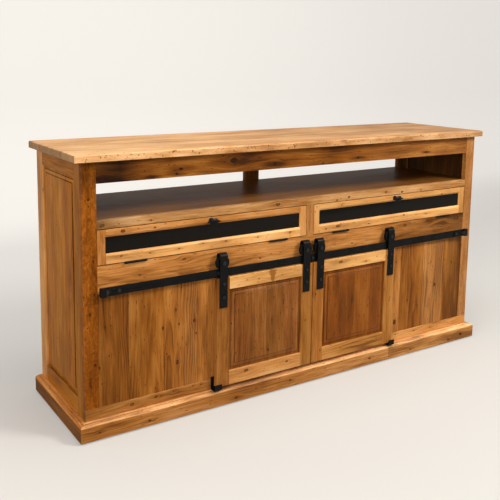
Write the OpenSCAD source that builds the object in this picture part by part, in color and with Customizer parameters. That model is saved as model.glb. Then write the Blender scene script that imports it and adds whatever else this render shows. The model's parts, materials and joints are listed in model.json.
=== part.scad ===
// Media console with two sliding barn doors, two drop-down glass flaps and an open bay.
// Units are millimetres. +X is to the right, -Y is the front and +Z is up.
// The origin is on the floor, under the middle of the whole object.

/* [Overall] */
// Length of the top
total_l = 1829; // [1500:1:2200]
// Height from the floor to the top surface
total_h = 927; // [880:1:1100]
// Depth of the body, from the face of the front frame to the back
body_d = 438; // [380:1:560]

/* [Top] */
// Thickness of the top
top_t = 24; // [18:1:36]
// Overhang of the top at the front
top_front = 19; // [5:1:26]
// Overhang of the top at each end
top_side = 27; // [5:1:60]
// Radius of the worn upper edge
top_round = 6; // [1:0.5:8]

/* [Base] */
// Height of the base moulding
base_h = 57; // [40:1:80]
// How far the base moulding stands in front of the face
base_front = 27; // [22:1:32]
// How far the base moulding stands out at each end
base_side = 26; // [22:1:50]
// Width of the flat ledge on the moulding
base_ledge = 12; // [6:1:13]
// Radius of the moulding's nose
base_nose = 9; // [4:1:9]
// Where the two lengths of the front moulding meet, right of the middle
base_seam = 402; // [100:1:600]
// Height of the glides under the body
glide_h = 5; // [3:1:10]
// Diameter of a glide
glide_dia = 30; // [20:1:40]

/* [Front frame] */
// Thickness of the front frame
frame_t = 20; // [18:1:24]
// Width of the outer stiles
stile_w = 47.5; // [40:0.5:60]
// Width of the inner stiles
inner_stile_w = 77; // [60:1:90]
// Width of each fixed panel
side_bay_w = 361; // [300:1:400]
// Width of a plank of the fixed panels
plank_w = 128; // [80:1:180]
// How far the fixed panels lie behind the face of the front frame
plank_back = 2; // [0:0.5:3]
// Height of the apron under the top
apron_h = 71; // [50:1:90]
// Height of the open bay
bay_h = 117; // [90:1:150]
// Height of the nosing in front of the open shelf
nosing_h = 28; // [24:1:40]
// Height of the openings that the flaps close
flap_open_h = 119; // [110:1:150]
// Width of the mullion between the flaps
mullion_w = 33; // [28:1:60]
// Height of the rail that carries the track
track_rail_h = 90; // [80:1:120]
// Height of the bottom rail that shows above the base
bottom_rail_show = 38; // [25:1:60]

/* [Carcass] */
// Thickness of the side frames
side_t = 22; // [20:1:26]
// Width of the front stile of a side frame
side_front_stile = 47; // [35:1:70]
// Width of the back stile of a side frame
side_back_stile = 60; // [40:1:80]
// Height of the top rail of a side frame
side_top_rail = 55; // [40:1:80]
// Height of the bottom rail of a side frame that shows above the base
side_bottom_rail_show = 56; // [40:1:80]
// Thickness of the shelves and decks
board_t = 20; // [16:1:22]
// Thickness of the back panel
back_t = 8; // [6:1:12]
// Width of the posts in the back of the open bay
rear_post_w = 68; // [50:1:90]
// Thickness of the posts and rails at the back
rear_t = 20; // [16:1:26]
// How far the middle rear post stands right of the middle
rear_post_shift = 12; // [-30:1:30]
// Width of the narrow strips at the two ends of the open back
rear_strip_w = 18; // [12:1:30]
// Width of the posts and rails of a divider frame
divider_w = 40; // [30:1:60]
// Height of the adjustable shelf over the floor of the middle compartment
shelf_rise = 192; // [130:1:250]
// Diameter of a shelf pin
pin_dia = 5; // [4:1:6]
// Distance between the holes for the shelf pins
pin_pitch = 32; // [25:1:40]
// Diameter of a cable port in the back
port_dia = 60; // [40:1:80]

/* [Panels] */
// Depth of the groove that holds a panel
groove_d = 8; // [6:1:10]
// Thickness of a panel's tongue
tongue_t = 6; // [5:1:7]
// Width of the moulding around a raised field
field_moulding = 14; // [10:1:20]
// Width of the flat border around the moulding
field_border = 4; // [3:1:12]
// Height of the step from the border up to the moulding's band
band_step = 2.8; // [1:0.2:3]
// How far the band leans forward on its way to the field
band_lean = 0.6; // [0:0.1:1]
// Width of the slope from the band up to the field
field_slope = 3; // [2:0.5:5]
// Width of the bevelled edge inside a frame
sticking_w = 7; // [4:1:9]
// Depth of the bevelled edge inside a frame
sticking_d = 5; // [3:1:6]

/* [Sliding doors] */
// Thickness of a door
door_t = 20; // [18:1:22]
// How far a door laps over the inner stile
door_lap = 14; // [8:1:20]
// Gap between the two closed doors
door_gap = 4; // [2:1:8]
// Gap between a door and the front frame
door_back_gap = 6; // [5:1:8]
// Gap between a door and the base moulding
door_floor_gap = 14; // [10:1:18]
// Width of a door's stiles
door_stile = 50; // [45:1:65]
// Height of a door's top rail
door_top_rail = 44; // [38:1:60]
// Height of a door's bottom rail
door_bottom_rail = 52; // [40:1:70]

/* [Track] */
// Height of the track
track_h = 28; // [24:1:32]
// Thickness of the track
track_t = 5; // [4:0.5:6]
// From the upper edge of the track rail down to the upper edge of the track
track_drop = 66.5; // [64:0.5:70]
// How far the track laps over each outer stile
track_lap = 0; // [0:1:12]
// Gap between the track and the top of a door
track_door_gap = 3.5; // [2:0.5:6]
// From the end of the track to the middle of its last bolt
track_bolt_in = 26; // [26:1:60]
// Distance between the two bolts of an end stop's plate
plate_pitch = 38; // [28:1:60]
// Diameter of the spacers behind the track
spacer_dia = 14; // [12:1:20]
// Diameter of the bolts of the track and of the hangers
bolt_dia = 6; // [5:0.5:6]
// Width across the flats of the heads of the track's bolts
track_head = 11; // [10:1:13]
// Width of an end stop's block
stop_w = 18; // [12:0.5:18]
// How far an end stop's block stands above the track
stop_rise = 2; // [0:0.5:3]
// Thickness of the plate that an end stop's bolts hold
plate_t = 2.5; // [2:0.5:3]
// Thickness of a rubber bumper
bumper_t = 6; // [3:0.5:10]

/* [Hangers] */
// Diameter of a roller's flanges
roller_dia = 50; // [46:1:54]
// Diameter of a roller in its groove
groove_dia = 43; // [40:1:44]
// Width of a roller
roller_w = 14; // [12:0.5:15]
// Diameter of an axle
axle_dia = 8; // [6:1:10]
// Width of a hanger strap
strap_w = 30; // [25:1:36]
// Thickness of a hanger strap
strap_t = 4; // [3:0.5:4]
// Length of the strap below the top of the door
strap_on_door = 105; // [90:1:130]
// From a door's outer edge to the middle of its outer hanger
outer_hanger_in = 24; // [20:1:40]
// From a door's inner edge to the middle of its inner hanger
inner_hanger_in = 31; // [26:1:40]
// From the top of a door to the first bolt of a strap
strap_bolt_in = 20; // [14:1:28]
// Distance between the two bolts that hold a strap on the door
strap_bolt_pitch = 48; // [30:1:55]
// Width across the flats of the heads of the strap's bolts
strap_head = 10; // [9:1:12]
// Width across the flats of the heads of the axles
axle_head = 13; // [12:1:16]
// Thickness of a bolt head
head_t = 3.5; // [2.5:0.5:4]

/* [Door guides] */
// Width of a guide
guide_w = 28; // [20:1:36]
// Thickness of a guide
guide_t = 3; // [2:0.5:4]
// Height of a guide's back plate above the bottom of the door
guide_rise = 33; // [30:1:60]
// Height of a guide's front lip above the bottom of the door
guide_lip = 11; // [8:1:20]
// How far a guide shows past the closed door
guide_past = 10; // [2:1:14]
// Gap between a door and the guide under it
guide_gap = 10; // [6:0.5:10]
// Gap between a door and the lip in front of it
guide_front_gap = 4; // [2:0.5:4]
// Outer radius of a guide's bends
guide_bend = 9; // [5:0.5:10]
// From the top of a guide to its first screw
guide_screw_in = 16; // [14:1:18]
// Distance between the two screws of a guide
guide_screw_pitch = 15; // [12:1:16]

/* [Flaps] */
// Gap between a flap and the frame above it
flap_gap_top = 3; // [3:0.5:5]
// Gap at each end of a flap
flap_gap_side = 2; // [1:0.5:4]
// Width of the flat face of a flap's stiles
flap_stile = 21; // [18:1:32]
// Height of the flat face of a flap's top rail
flap_top_rail = 18; // [16:1:24]
// Height of the flat face of a flap's bottom rail
flap_bottom_rail = 27; // [22:1:32]
// Thickness of the glass
glass_t = 4; // [3:0.5:5]
// Width of the rebate that holds the glass
rebate_w = 9; // [7:1:10]
// Depth of wood in front of the glass
glass_front = 8; // [7:0.5:9]

/* [Hinges and stays] */
// Length of a hinge
hinge_l = 76; // [60:1:90]
// From the end of a flap to the middle of a hinge
hinge_in = 128; // [80:1:160]
// Thickness of a hinge leaf
leaf_t = 1.4; // [1.2:0.1:1.6]
// Width of a hinge leaf
leaf_w = 17; // [12:1:18]
// Outer diameter of a hinge knuckle
knuckle_dia = 8; // [7:0.5:9]
// Diameter of a hinge pin
hinge_pin_dia = 4; // [3:0.5:5]
// Distance from the hinge axis to both pivots of a stay
stay_r = 105; // [102:1:107]
// Angle of the keeper, measured from straight above the hinge axis
keeper_angle = 30; // [28:1:33]
// Diameter of a stay's rod
rod_dia = 6; // [5:0.5:6.5]
// How far a packing block reaches behind the keeper's pivot
block_past = 30; // [16:1:60]
// Width of a magnet catch
catch_w = 44; // [30:1:60]
// Height of a magnet catch
catch_h = 25; // [22:1:32]
// Depth of a magnet catch
catch_d = 14; // [10:1:20]
// Width of a knob
knob_w = 50; // [36:1:60]
// Height of a knob
knob_h = 22; // [16:1:24]
// How far a knob stands out
knob_reach = 26; // [20:1:32]
// From the top of a flap to the middle of its knob
knob_drop = 12; // [12:1:16]

/* [Hidden] */

$fn = 48;

honey = "#c98d4b";
pale_honey = "#e3ae72";
brown_honey = "#9a6231";
dark_stain = "#5a4634";
iron = "#222324";
glass_tint = "#23241f";
rubber = "#181818";

// Clearances: a seated piece, a running pin and the glue line between two boards
fit = 0.3;
run = 0.05;
joint = 0.1;
// Gap between the leaves of a closed hinge, and from the hinge's knuckle to the face
leaf_gap = 0.4;
knuckle_gap = 0.4;
// How far a cut starts outside a face, and the height of the small step round a raised field
over = 0.01;
field_step = 1;
// How far a washer stands round the pin or bolt that it lies on
washer = 1.2;

// Widths, from the middle outwards
body_w = total_l - 2 * top_side;
body_x = body_w / 2;
stile_x = body_x - stile_w;
bay_x = stile_x - side_bay_w;
opening_x = bay_x - inner_stile_w;
inside_x = body_x - side_t;
mullion_x = mullion_w / 2;

// Heights, from the floor upwards
z_body = glide_h;
z_ledge = z_body + base_h;
z_bottom_rail = z_ledge + bottom_rail_show;
z_top = total_h - top_t;
z_apron = z_top - apron_h;
z_shelf = z_apron - bay_h;
z_nosing = z_shelf - nosing_h;
z_flap_open = z_nosing - flap_open_h;
z_track_rail = z_flap_open - track_rail_h;
z_deck = z_flap_open - board_t;
z_under_shelf = z_shelf - board_t;
z_side_rail = z_ledge + side_bottom_rail_show;
z_side_top = z_top - side_top_rail;

// Depths: the face of the front frame is y_face, and the hardware stands in front of it
strap_y = door_back_gap + door_t;
front_reach = max(strap_y + max(strap_t + head_t, guide_front_gap + guide_t), base_front);
y_back = (body_d + front_reach) / 2;
y_face = y_back - body_d;
y_inside = y_face + frame_t;
y_board_back = y_back - back_t;

// Sliding doors, seen on the right-hand side
door_x0 = door_gap / 2;
door_x1 = opening_x + door_lap;
door_z0 = z_ledge + door_floor_gap;
track_z1 = z_flap_open - track_drop;
track_z0 = track_z1 - track_h;
door_z1 = track_z0 - track_door_gap;
door_y0 = y_face - strap_y;
door_y1 = y_face - door_back_gap;

// Track and hangers: the roller's middle plane lies over the middle of the track
hanger_gap = strap_y - door_back_gap - 1;
band_out = hanger_gap / 2 + strap_t;
roller_y = y_face - strap_y + hanger_gap / 2;
track_y0 = roller_y - track_t / 2;
track_y1 = roller_y + track_t / 2;
track_x = stile_x + track_lap;
axle_z = track_z1 + groove_dia / 2 + fit / 2;
band_z = axle_z + roller_dia / 2 - 3;
outer_x = door_x1 - outer_hanger_in;
inner_x = door_x0 + inner_hanger_in;
strap_z0 = door_z1 - strap_on_door;
bolt_z = [door_z1 - strap_bolt_in, door_z1 - strap_bolt_in - strap_bolt_pitch];
last_bolt_x = track_x - track_bolt_in;
track_bolt_x = [0, last_bolt_x / 2, last_bolt_x];
plate_bolt_x = last_bolt_x - plate_pitch;
track_mid_z = track_z0 + track_h / 2;
bolt_hole_r = bolt_dia / 2 + run;
strap_front_y = roller_y - band_out;
// How far a bumper reaches past each face of the strap
pad_edge = 0.5;
bumper_h = 16;

// Flaps and their hinges, seen on the right-hand side
seam = 2 * leaf_t + leaf_gap;
flap_x0 = mullion_x + flap_gap_side;
flap_x1 = stile_x - flap_gap_side;
flap_z0 = z_flap_open + seam;
flap_z1 = z_nosing - flap_gap_top;
flap_mid_x = (flap_x0 + flap_x1) / 2;
hinge_z = z_flap_open + seam / 2;
hinge_y = y_face - knuckle_dia / 2 - knuckle_gap;
hinge_x = [flap_x0 + hinge_in, flap_x1 - hinge_in];
flap_open = [flap_x0 + flap_stile, flap_x1 - flap_stile, flap_z0 + flap_bottom_rail, flap_z1 - flap_top_rail];
pane_open = flap_open + sticking_w * [1, -1, 1, -1];

// Stays: both pivots lie at stay_r from the hinge axis, so the rod turns half as far as the flap
stay_in = 9;
stay_back = 6.6;
stay_x = flap_x1 - stay_in;
stay_dy = y_inside + stay_back - hinge_y;
stay_dz = sqrt(stay_r * stay_r - stay_dy * stay_dy);
stay_angle = asin(stay_dy / stay_r);
keeper_dy = stay_r * sin(keeper_angle);
keeper_dz = stay_r * cos(keeper_angle);
rod_slope = (stay_angle + keeper_angle) / 2;
keeper_half = 7;
keeper_wall = 3;
keeper_pin_r = 3;
keeper_pin_in = 6;
stay_pin_r = 2;
stay_plate_t = 2;
stay_plate_l = 28;
stay_plate_h = 18;
strike_t = 1.5;
strike_l = 36;
strike_h = 13;
// How far the back leg of a hanger reaches below the axle
leg_past = 12;
rod_reach = 2 * stay_r * sin((90 + keeper_angle - stay_angle) / 2) + keeper_half + fit;
eye_half = rod_dia / 2 - 0.6;

// Basic forms
module block(low, high) {
    translate(low) cube(high - low);
}

module both_sides() {
    children();
    mirror([1, 0, 0]) children();
}

module on_side(side) {
    mirror([side < 0 ? 1 : 0, 0, 0]) children();
}

// A cylinder along +Y whose far end is at y1
module rod_y(x, y0, y1, z, r, sides = 48) {
    translate([x, y0, z]) rotate([-90, 0, 0]) cylinder(r = r, h = y1 - y0, $fn = sides);
}

// A cylinder along +X
module rod_x(x0, x1, y, z, r) {
    translate([x0, y, z]) rotate([0, 90, 0]) cylinder(r = r, h = x1 - x0);
}

// Draws an outline, given as [y, z], along X
module along_x(x0, x1) {
    translate([x0, 0, 0]) rotate([90, 0, 90]) linear_extrude(x1 - x0) children();
}

// Draws an outline, given as [x, y], along Z
module along_z(z0, z1) {
    translate([0, 0, z0]) linear_extrude(z1 - z0) children();
}

// A hexagon head in front of the plane y
module hex_head(x, y, z, across, t) {
    rod_y(x, y - t, y, z, across / sqrt(3), 6);
}

// The space of an opening o = [x0, x1, z0, z1] in a frame whose face is at y. Its edge is bevelled.
module bevelled_opening(o, y, depth) {
    w = sticking_w;
    d = sticking_d;
    block([o[0] + w, y - 1, o[2] + w], [o[1] - w, y + depth + 1, o[3] - w]);
    intersection() {
        along_z(o[2] - 1, o[3] + 1)
            polygon([[o[0], y - over], [o[1], y - over], [o[1] - w, y + d], [o[0] + w, y + d]]);
        along_x(o[0] - 1, o[1] + 1)
            polygon([[y - over, o[2]], [y - over, o[3]], [y + d, o[3] - w], [y + d, o[2] + w]]);
    }
}

// The groove round an opening, as the space that the panel's edge fills
module panel_groove(o, y) {
    reach = groove_d - sticking_w;
    block([o[0] - reach, y, o[2] - reach], [o[1] + reach, y + tongue_t, o[3] + reach]);
}

// A raised panel for an opening: tongue, flat border, moulding and field, its field towards -Y
module raised_panel(o, y, field_y) {
    reach = groove_d - sticking_w - fit;
    a = [o[0] - reach, o[1] + reach, o[2] - reach, o[3] + reach];
    y1 = y + tongue_t - fit;
    y0 = y + fit;
    // The moulding's profile, as [distance in from the opening's edge, y]
    rise = sticking_w + field_border;
    run_in = rise + field_moulding;
    band_y = y0 - band_step;
    p = [[rise, y0], [rise + band_step / 2, band_y], [run_in - field_slope, band_y - band_lean],
        [run_in, field_y + field_step], [run_in, field_y]];
    last = len(p) - 1;
    intersection() {
        along_z(a[2], a[3]) polygon(concat([[a[0], y0], [a[0], y1], [a[1], y1], [a[1], y0]],
            [for (i = [0:last]) [o[1] - p[i][0], p[i][1]]],
            [for (i = [last:-1:0]) [o[0] + p[i][0], p[i][1]]]));
        along_x(a[0], a[1]) polygon(concat([[y0, a[2]], [y1, a[2]], [y1, a[3]], [y0, a[3]]],
            [for (i = [0:last]) [p[i][1], o[3] - p[i][0]]],
            [for (i = [last:-1:0]) [p[i][1], o[2] + p[i][0]]]));
    }
}

// A board standing upright, with fine bevels on its two front edges
module stave(x0, x1, y0, y1, z0, z1, ease = 0.5) {
    along_z(z0, z1) polygon([[x0, y1], [x1, y1], [x1, y0 + ease], [x1 - ease, y0],
        [x0 + ease, y0], [x0, y0 + ease]]);
}

// A board's end with its two upper edges rounded
module rounded_outline(w, t, r) {
    square([w, t - r]);
    translate([r, 0]) square([w - 2 * r, t]);
    for (x = [r, w - r]) translate([x, t - r]) circle(r);
}

// Top
module top_board() {
    y0 = y_face - top_front;
    color(pale_honey) intersection() {
        along_x(-total_l / 2, total_l / 2) translate([y0, z_top])
            rounded_outline(y_back - y0, top_t, top_round);
        translate([-total_l / 2, y_back, z_top]) rotate([90, 0, 0]) linear_extrude(y_back - y0)
            rounded_outline(total_l, top_t, top_round);
    }
}

// Sides: two stiles and two rails round a raised panel, drawn flat and stood upright at the right
side_y0 = y_inside;
side_open_y0 = side_y0 + side_front_stile;
side_open_y1 = y_back - side_back_stile;
side_open = [side_open_y0, side_open_y1, z_side_rail, z_side_top];
side_tongue = 8;
// How far a raised field stays behind the face of its frame
field_back = 2;

module stand_at_side() {
    // The flat frame's X becomes Y, and its face at Y = 0 becomes the outside of the side
    multmatrix([[0, -1, 0, body_x], [1, 0, 0, 0], [0, 0, 1, 0]]) children();
}

module side_cut() {
    bevelled_opening(side_open, 0, side_t);
    panel_groove(side_open, side_tongue);
}

module side_frame() {
    parts = [
        [side_y0, side_open_y0, z_body, z_top],
        [side_open_y1, y_back, z_body, z_top],
        [side_open_y0 + joint, side_open_y1 - joint, z_body, z_side_rail],
        [side_open_y0 + joint, side_open_y1 - joint, z_side_top, z_top]];
    stand_at_side() for (p = parts) difference() {
        block([p[0], 0, p[2]], [p[1], side_t, p[3]]);
        side_cut();
    }
}

module side_frames() {
    color(brown_honey) both_sides() side_frame();
}

module side_panels() {
    color(brown_honey) both_sides() stand_at_side() raised_panel(side_open, side_tongue, field_back);
}

// Front frame
module face_stiles() {
    color(honey) both_sides() block([stile_x, y_face, z_bottom_rail], [body_x, y_inside, z_top]);
}

module apron_rail() {
    color(honey) block([-stile_x, y_face, z_apron], [stile_x, y_inside, z_top]);
}

module mullion() {
    color(honey) block([-mullion_x, y_face, z_flap_open], [mullion_x, y_inside, z_nosing]);
}

module shelf_nosing() {
    color(honey) block([-stile_x, y_face, z_nosing], [stile_x, y_inside, z_shelf]);
}

module track_rail() {
    color(honey) difference() {
        block([-stile_x, y_face, z_track_rail], [stile_x, y_inside, z_flap_open]);
        both_sides() for (x = concat(track_bolt_x, [plate_bolt_x]))
            rod_y(x, y_face - 1, y_inside - 3, track_mid_z, bolt_hole_r);
    }
}

module bottom_rail() {
    color(pale_honey) difference() {
        block([-body_x, y_face, z_body], [body_x, y_inside, z_bottom_rail]);
        both_sides() guide_screw_holes();
    }
}

module inner_stiles() {
    color(honey) both_sides() difference() {
        block([opening_x, y_face, z_bottom_rail], [bay_x, y_inside, z_track_rail]);
        guide_screw_holes();
    }
}

module fixed_panels() {
    count = ceil(side_bay_w / plank_w);
    color(brown_honey) both_sides() for (i = [0:count - 1]) {
        x0 = bay_x + i * plank_w;
        x1 = min(x0 + plank_w, stile_x);
        stave(x0, x1 - joint, y_face + plank_back, y_inside - plank_back, z_bottom_rail, z_track_rail);
    }
}

// Shelves and decks
module open_shelf() {
    color(dark_stain) block([-inside_x, y_inside, z_under_shelf], [inside_x, y_back, z_shelf]);
}

module media_deck() {
    color(dark_stain) block([-inside_x, y_inside, z_deck], [inside_x, y_board_back, z_flap_open]);
}

module media_divider() {
    color(dark_stain) block([-board_t / 2, y_inside, z_flap_open],
        [board_t / 2, y_board_back, z_under_shelf]);
}

// Blocks that bring the ends of the flap compartments flush with the stiles
module packing_blocks() {
    depth = keeper_dy - (y_inside - hinge_y) + block_past;
    color(dark_stain) both_sides() difference() {
        block([stile_x, y_inside, z_flap_open], [inside_x, y_inside + depth, z_under_shelf]);
        rod_x(stile_x - 1, stile_x + keeper_pin_in + 2, hinge_y + keeper_dy, hinge_z + keeper_dz,
            keeper_pin_r + 1);
    }
}

module bottom_board() {
    color(dark_stain) block([-inside_x, y_inside, z_bottom_rail - board_t],
        [inside_x, y_board_back, z_bottom_rail]);
}

// Divider frames: the side compartments stay open to the middle one
divider_x1 = opening_x + board_t;
shelf_z = z_bottom_rail + shelf_rise;
pin_y = [y_inside + divider_w / 2, y_board_back - divider_w / 2];
pin_out = 8;
pin_in = 9;
shelf_gap = 1.5;

module divider_frames() {
    y1 = y_board_back;
    parts = [
        [y_inside, y_inside + divider_w, z_bottom_rail, z_deck],
        [y1 - divider_w, y1, z_bottom_rail, z_deck],
        [y_inside + divider_w + joint, y1 - divider_w - joint, z_bottom_rail, z_bottom_rail + divider_w],
        [y_inside + divider_w + joint, y1 - divider_w - joint, z_deck - divider_w, z_deck]];
    color(dark_stain) both_sides() for (p = parts) difference() {
        block([opening_x, p[0], p[2]], [divider_x1, p[1], p[3]]);
        for (y = pin_y, i = [-2:2])
            rod_x(opening_x - 1, opening_x + pin_in + 1, y, shelf_z - pin_dia / 2 + i * pin_pitch,
                pin_dia / 2 + run);
    }
}

module centre_shelf() {
    color(dark_stain) block([-opening_x + shelf_gap, y_inside + pin_out, shelf_z + joint],
        [opening_x - shelf_gap, y_board_back - pin_out, shelf_z + board_t]);
}

module shelf_pins() {
    color(iron) both_sides() for (y = pin_y)
        rod_x(opening_x - pin_out, opening_x + pin_in, y, shelf_z - pin_dia / 2, pin_dia / 2);
}

// Back
module back_panel() {
    ports = [[flap_mid_x, (z_flap_open + z_under_shelf) / 2], [opening_x / 2, z_bottom_rail + 2 * port_dia]];
    color(dark_stain) difference() {
        block([-inside_x, y_board_back, z_ledge], [inside_x, y_back, z_under_shelf]);
        both_sides() for (p = ports) rod_y(p[0], y_board_back - 1, y_back + 1, p[1], port_dia / 2);
    }
}

module rear_frame() {
    y0 = y_back - rear_t;
    mid = rear_post_shift;
    color(dark_stain) {
        block([-inside_x, y0, z_side_top], [inside_x, y_back, z_top]);
        block([mid - rear_post_w / 2, y0, z_shelf], [mid + rear_post_w / 2, y_back, z_side_top - joint]);
        both_sides() block([inside_x - rear_strip_w, y0, z_shelf], [inside_x, y_back, z_side_top - joint]);
        block([-inside_x, y0, z_body], [inside_x, y_back, z_ledge]);
    }
}

// Base: one moulding profile, mitred at the front corners
module base_profile(proud) {
    step = 2;
    square([proud - base_nose, base_h - step]);
    square([proud, base_h - step - base_nose]);
    translate([proud - base_nose, base_h - step - base_nose]) circle(base_nose);
    square([base_ledge, base_h]);
}

module base_front_moulding() {
    x1 = body_x + base_side;
    y0 = y_face - base_front;
    color(honey) for (ends = [[-x1, base_seam - joint], [base_seam, x1]]) intersection() {
        along_x(ends[0], ends[1]) translate([y_face, z_body]) mirror([1, 0]) base_profile(base_front);
        along_z(z_body - 1, z_ledge + 1)
            polygon([[-x1, y0], [x1, y0], [body_x, y_face], [-body_x, y_face]]);
    }
}

module base_side_mouldings() {
    x1 = body_x + base_side;
    y0 = y_face - base_front;
    color(honey) both_sides() intersection() {
        translate([body_x, y_back, z_body]) rotate([90, 0, 0]) linear_extrude(y_back - y0)
            base_profile(base_side);
        along_z(z_body - 1, z_ledge + 1)
            polygon([[body_x, y_face], [x1, y0], [x1, y_back], [body_x, y_back]]);
    }
}

module glides() {
    in = glide_dia / 2 + 2;
    color(rubber) for (x = [-body_x + in, 0, body_x - in], y = [y_face + in - base_front / 2, y_back - in])
        translate([x, y, 0]) cylinder(r = glide_dia / 2, h = glide_h);
}

// Track
module track_bar() {
    color(iron) difference() {
        block([-track_x, track_y0, track_z0], [track_x, track_y1, track_z1]);
        both_sides() for (x = concat(track_bolt_x, [plate_bolt_x]))
            rod_y(x, track_y0 - 1, track_y1 + 1, track_mid_z, bolt_hole_r);
    }
}

module track_spacers() {
    color(iron) {
        for (x = [0, each [for (s = [-1, 1], b = [1, 2]) s * track_bolt_x[b]]]) difference() {
            rod_y(x, track_y1, y_face, track_mid_z, spacer_dia / 2);
            rod_y(x, track_y1 - 1, y_face + 1, track_mid_z, bolt_hole_r);
        }
    }
}

module track_bolt(x, y) {
    hex_head(x, y, track_mid_z, track_head, head_t);
    rod_y(x, y, y_inside - 4, track_mid_z, bolt_dia / 2);
}

module fixing_bolts() {
    color(iron) {
        track_bolt(0, track_y0);
        both_sides() {
            track_bolt(track_bolt_x[1], track_y0);
            track_bolt(last_bolt_x, track_y0 - plate_t);
            track_bolt(plate_bolt_x, track_y0 - plate_t);
            guide_screws();
        }
    }
}

// An end stop is a block in the way of the strap, on a plate that two bolts hold on the track's end
module end_stops() {
    x0 = track_x - stop_w;
    margin = track_head / 2 + 3.5;
    color(iron) both_sides() {
        block([x0, strap_front_y - 2 * pad_edge, track_z0], [track_x, track_y0, track_z1 + stop_rise]);
        difference() {
            block([plate_bolt_x - margin, track_y0 - plate_t, track_z0],
                [x0, track_y0, track_mid_z + margin]);
            for (x = [plate_bolt_x, last_bolt_x])
                rod_y(x, track_y0 - plate_t - 1, track_y0 + 1, track_mid_z, bolt_hole_r);
        }
    }
}

// A rubber pad on each block, as wide as the edge of the strap that it meets
module stop_bumpers() {
    x1 = track_x - stop_w;
    half = bumper_h / 2;
    color(rubber) both_sides() block([x1 - bumper_t, strap_front_y - pad_edge, track_mid_z - half],
        [x1, strap_front_y + strap_t + pad_edge, track_mid_z + half]);
}

// Guides: a strap behind, under and in front of the lower corner of each door
guide_x1 = door_x1 + guide_past;
guide_x0 = guide_x1 - guide_w;
guide_lip_y = y_face - strap_y - guide_front_gap;
guide_screw_z1 = door_z0 + guide_rise - guide_screw_in;
guide_screw_z = [guide_screw_z1, guide_screw_z1 - guide_screw_pitch];
guide_mid_x = (guide_x0 + guide_x1) / 2;
screw_r = 2;
screw_l = 15;

module guide_screw_holes() {
    for (z = guide_screw_z) rod_y(guide_mid_x, y_face - 1, y_face + screw_l + 1, z, screw_r + run);
}

module guide_screws() {
    for (z = guide_screw_z) {
        rod_y(guide_mid_x, y_face - guide_t - washer, y_face - guide_t, z, 2 * screw_r);
        rod_y(guide_mid_x, y_face - guide_t, y_face + screw_l, z, screw_r);
    }
}

module guide_profile() {
    r = guide_bend;
    z0 = door_z0 - guide_gap - guide_t;
    out = guide_lip_y - guide_t;
    difference() {
        union() {
            translate([y_face - guide_t, z0 + r]) square([guide_t, door_z0 + guide_rise - z0 - r]);
            translate([out, z0 + r]) square([guide_t, door_z0 + guide_lip - z0 - r]);
            translate([out + r, z0]) square([y_face - out - 2 * r, guide_t]);
            for (y = [out + r, y_face - r]) translate([y, z0 + r]) circle(r);
        }
        for (y = [out + r, y_face - r]) translate([y, z0 + r]) circle(r - guide_t);
        translate([out + guide_t, z0 + r]) square([y_face - out - 2 * guide_t, r]);
        translate([out + r, z0 + guide_t]) square([y_face - out - 2 * r, r]);
    }
}

module door_guides() {
    color(iron) both_sides() difference() {
        along_x(guide_x0, guide_x1) guide_profile();
        for (z = guide_screw_z) rod_y(guide_mid_x, y_face - guide_t - 1, y_face + 1, z, screw_r + run);
    }
}

// Catches: magnets under the open shelf, behind the top rail of each flap
module catches() {
    y0 = y_inside + strike_t + 0.5;
    color(rubber) both_sides() block([flap_mid_x - catch_w / 2, y0, z_under_shelf - catch_h],
        [flap_mid_x + catch_w / 2, y0 + catch_d, z_under_shelf]);
}

// Hinges: three knuckles on the cabinet and two on the flap
module hinge_leaf(mid, moving) {
    step = hinge_l / 5;
    z0 = moving ? hinge_z + leaf_gap / 2 : hinge_z - leaf_gap / 2 - leaf_t;
    difference() {
        union() {
            block([mid - hinge_l / 2, y_face, z0], [mid + hinge_l / 2, y_face + leaf_w, z0 + leaf_t]);
            for (i = moving ? [1, 3] : [0, 2, 4]) {
                a = mid - hinge_l / 2 + i * step;
                x0 = i == 0 ? a : a + leaf_gap / 2;
                x1 = i == 4 ? a + step : a + step - leaf_gap / 2;
                rod_x(x0, x1, hinge_y, hinge_z, knuckle_dia / 2);
                block([x0, hinge_y + hinge_pin_dia / 2, z0], [x1, y_face, z0 + leaf_t]);
            }
        }
        rod_x(mid - hinge_l, mid + hinge_l, hinge_y, hinge_z, hinge_pin_dia / 2 + run);
    }
}

module fixed_hinge_leaves() {
    color(iron) both_sides() for (x = hinge_x) hinge_leaf(x, false);
}

module hinge_pins() {
    color(iron) both_sides() for (x = hinge_x) {
        reach = hinge_l / 2 + fit;
        rod_x(x - reach, x + reach, hinge_y, hinge_z, hinge_pin_dia / 2);
        for (a = [x - reach - washer, x + reach])
            rod_x(a, a + washer, hinge_y, hinge_z, hinge_pin_dia / 2 + washer);
    }
}

// Sliding doors, drawn on the right-hand side
door_open = [door_x0 + door_stile, door_x1 - door_stile, door_z0 + door_bottom_rail, door_z1 - door_top_rail];
door_tongue_y = door_y0 + 8;

module door_frame() {
    o = door_open;
    parts = [
        [door_x0, o[0], door_z0, door_z1],
        [o[1], door_x1, door_z0, door_z1],
        [o[0] + joint, o[1] - joint, door_z0, o[2]],
        [o[0] + joint, o[1] - joint, o[3], door_z1]];
    for (p = parts) difference() {
        block([p[0], door_y0, p[2]], [p[1], door_y1, p[3]]);
        bevelled_opening(o, door_y0, door_t);
        panel_groove(o, door_tongue_y);
        for (x = [inner_x, outer_x], z = bolt_z) rod_y(x, door_y0 - 1, door_y1 - 2, z, bolt_hole_r);
    }
}

module door_panel() {
    raised_panel(door_open, door_tongue_y, door_y0 + field_back);
}

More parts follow.
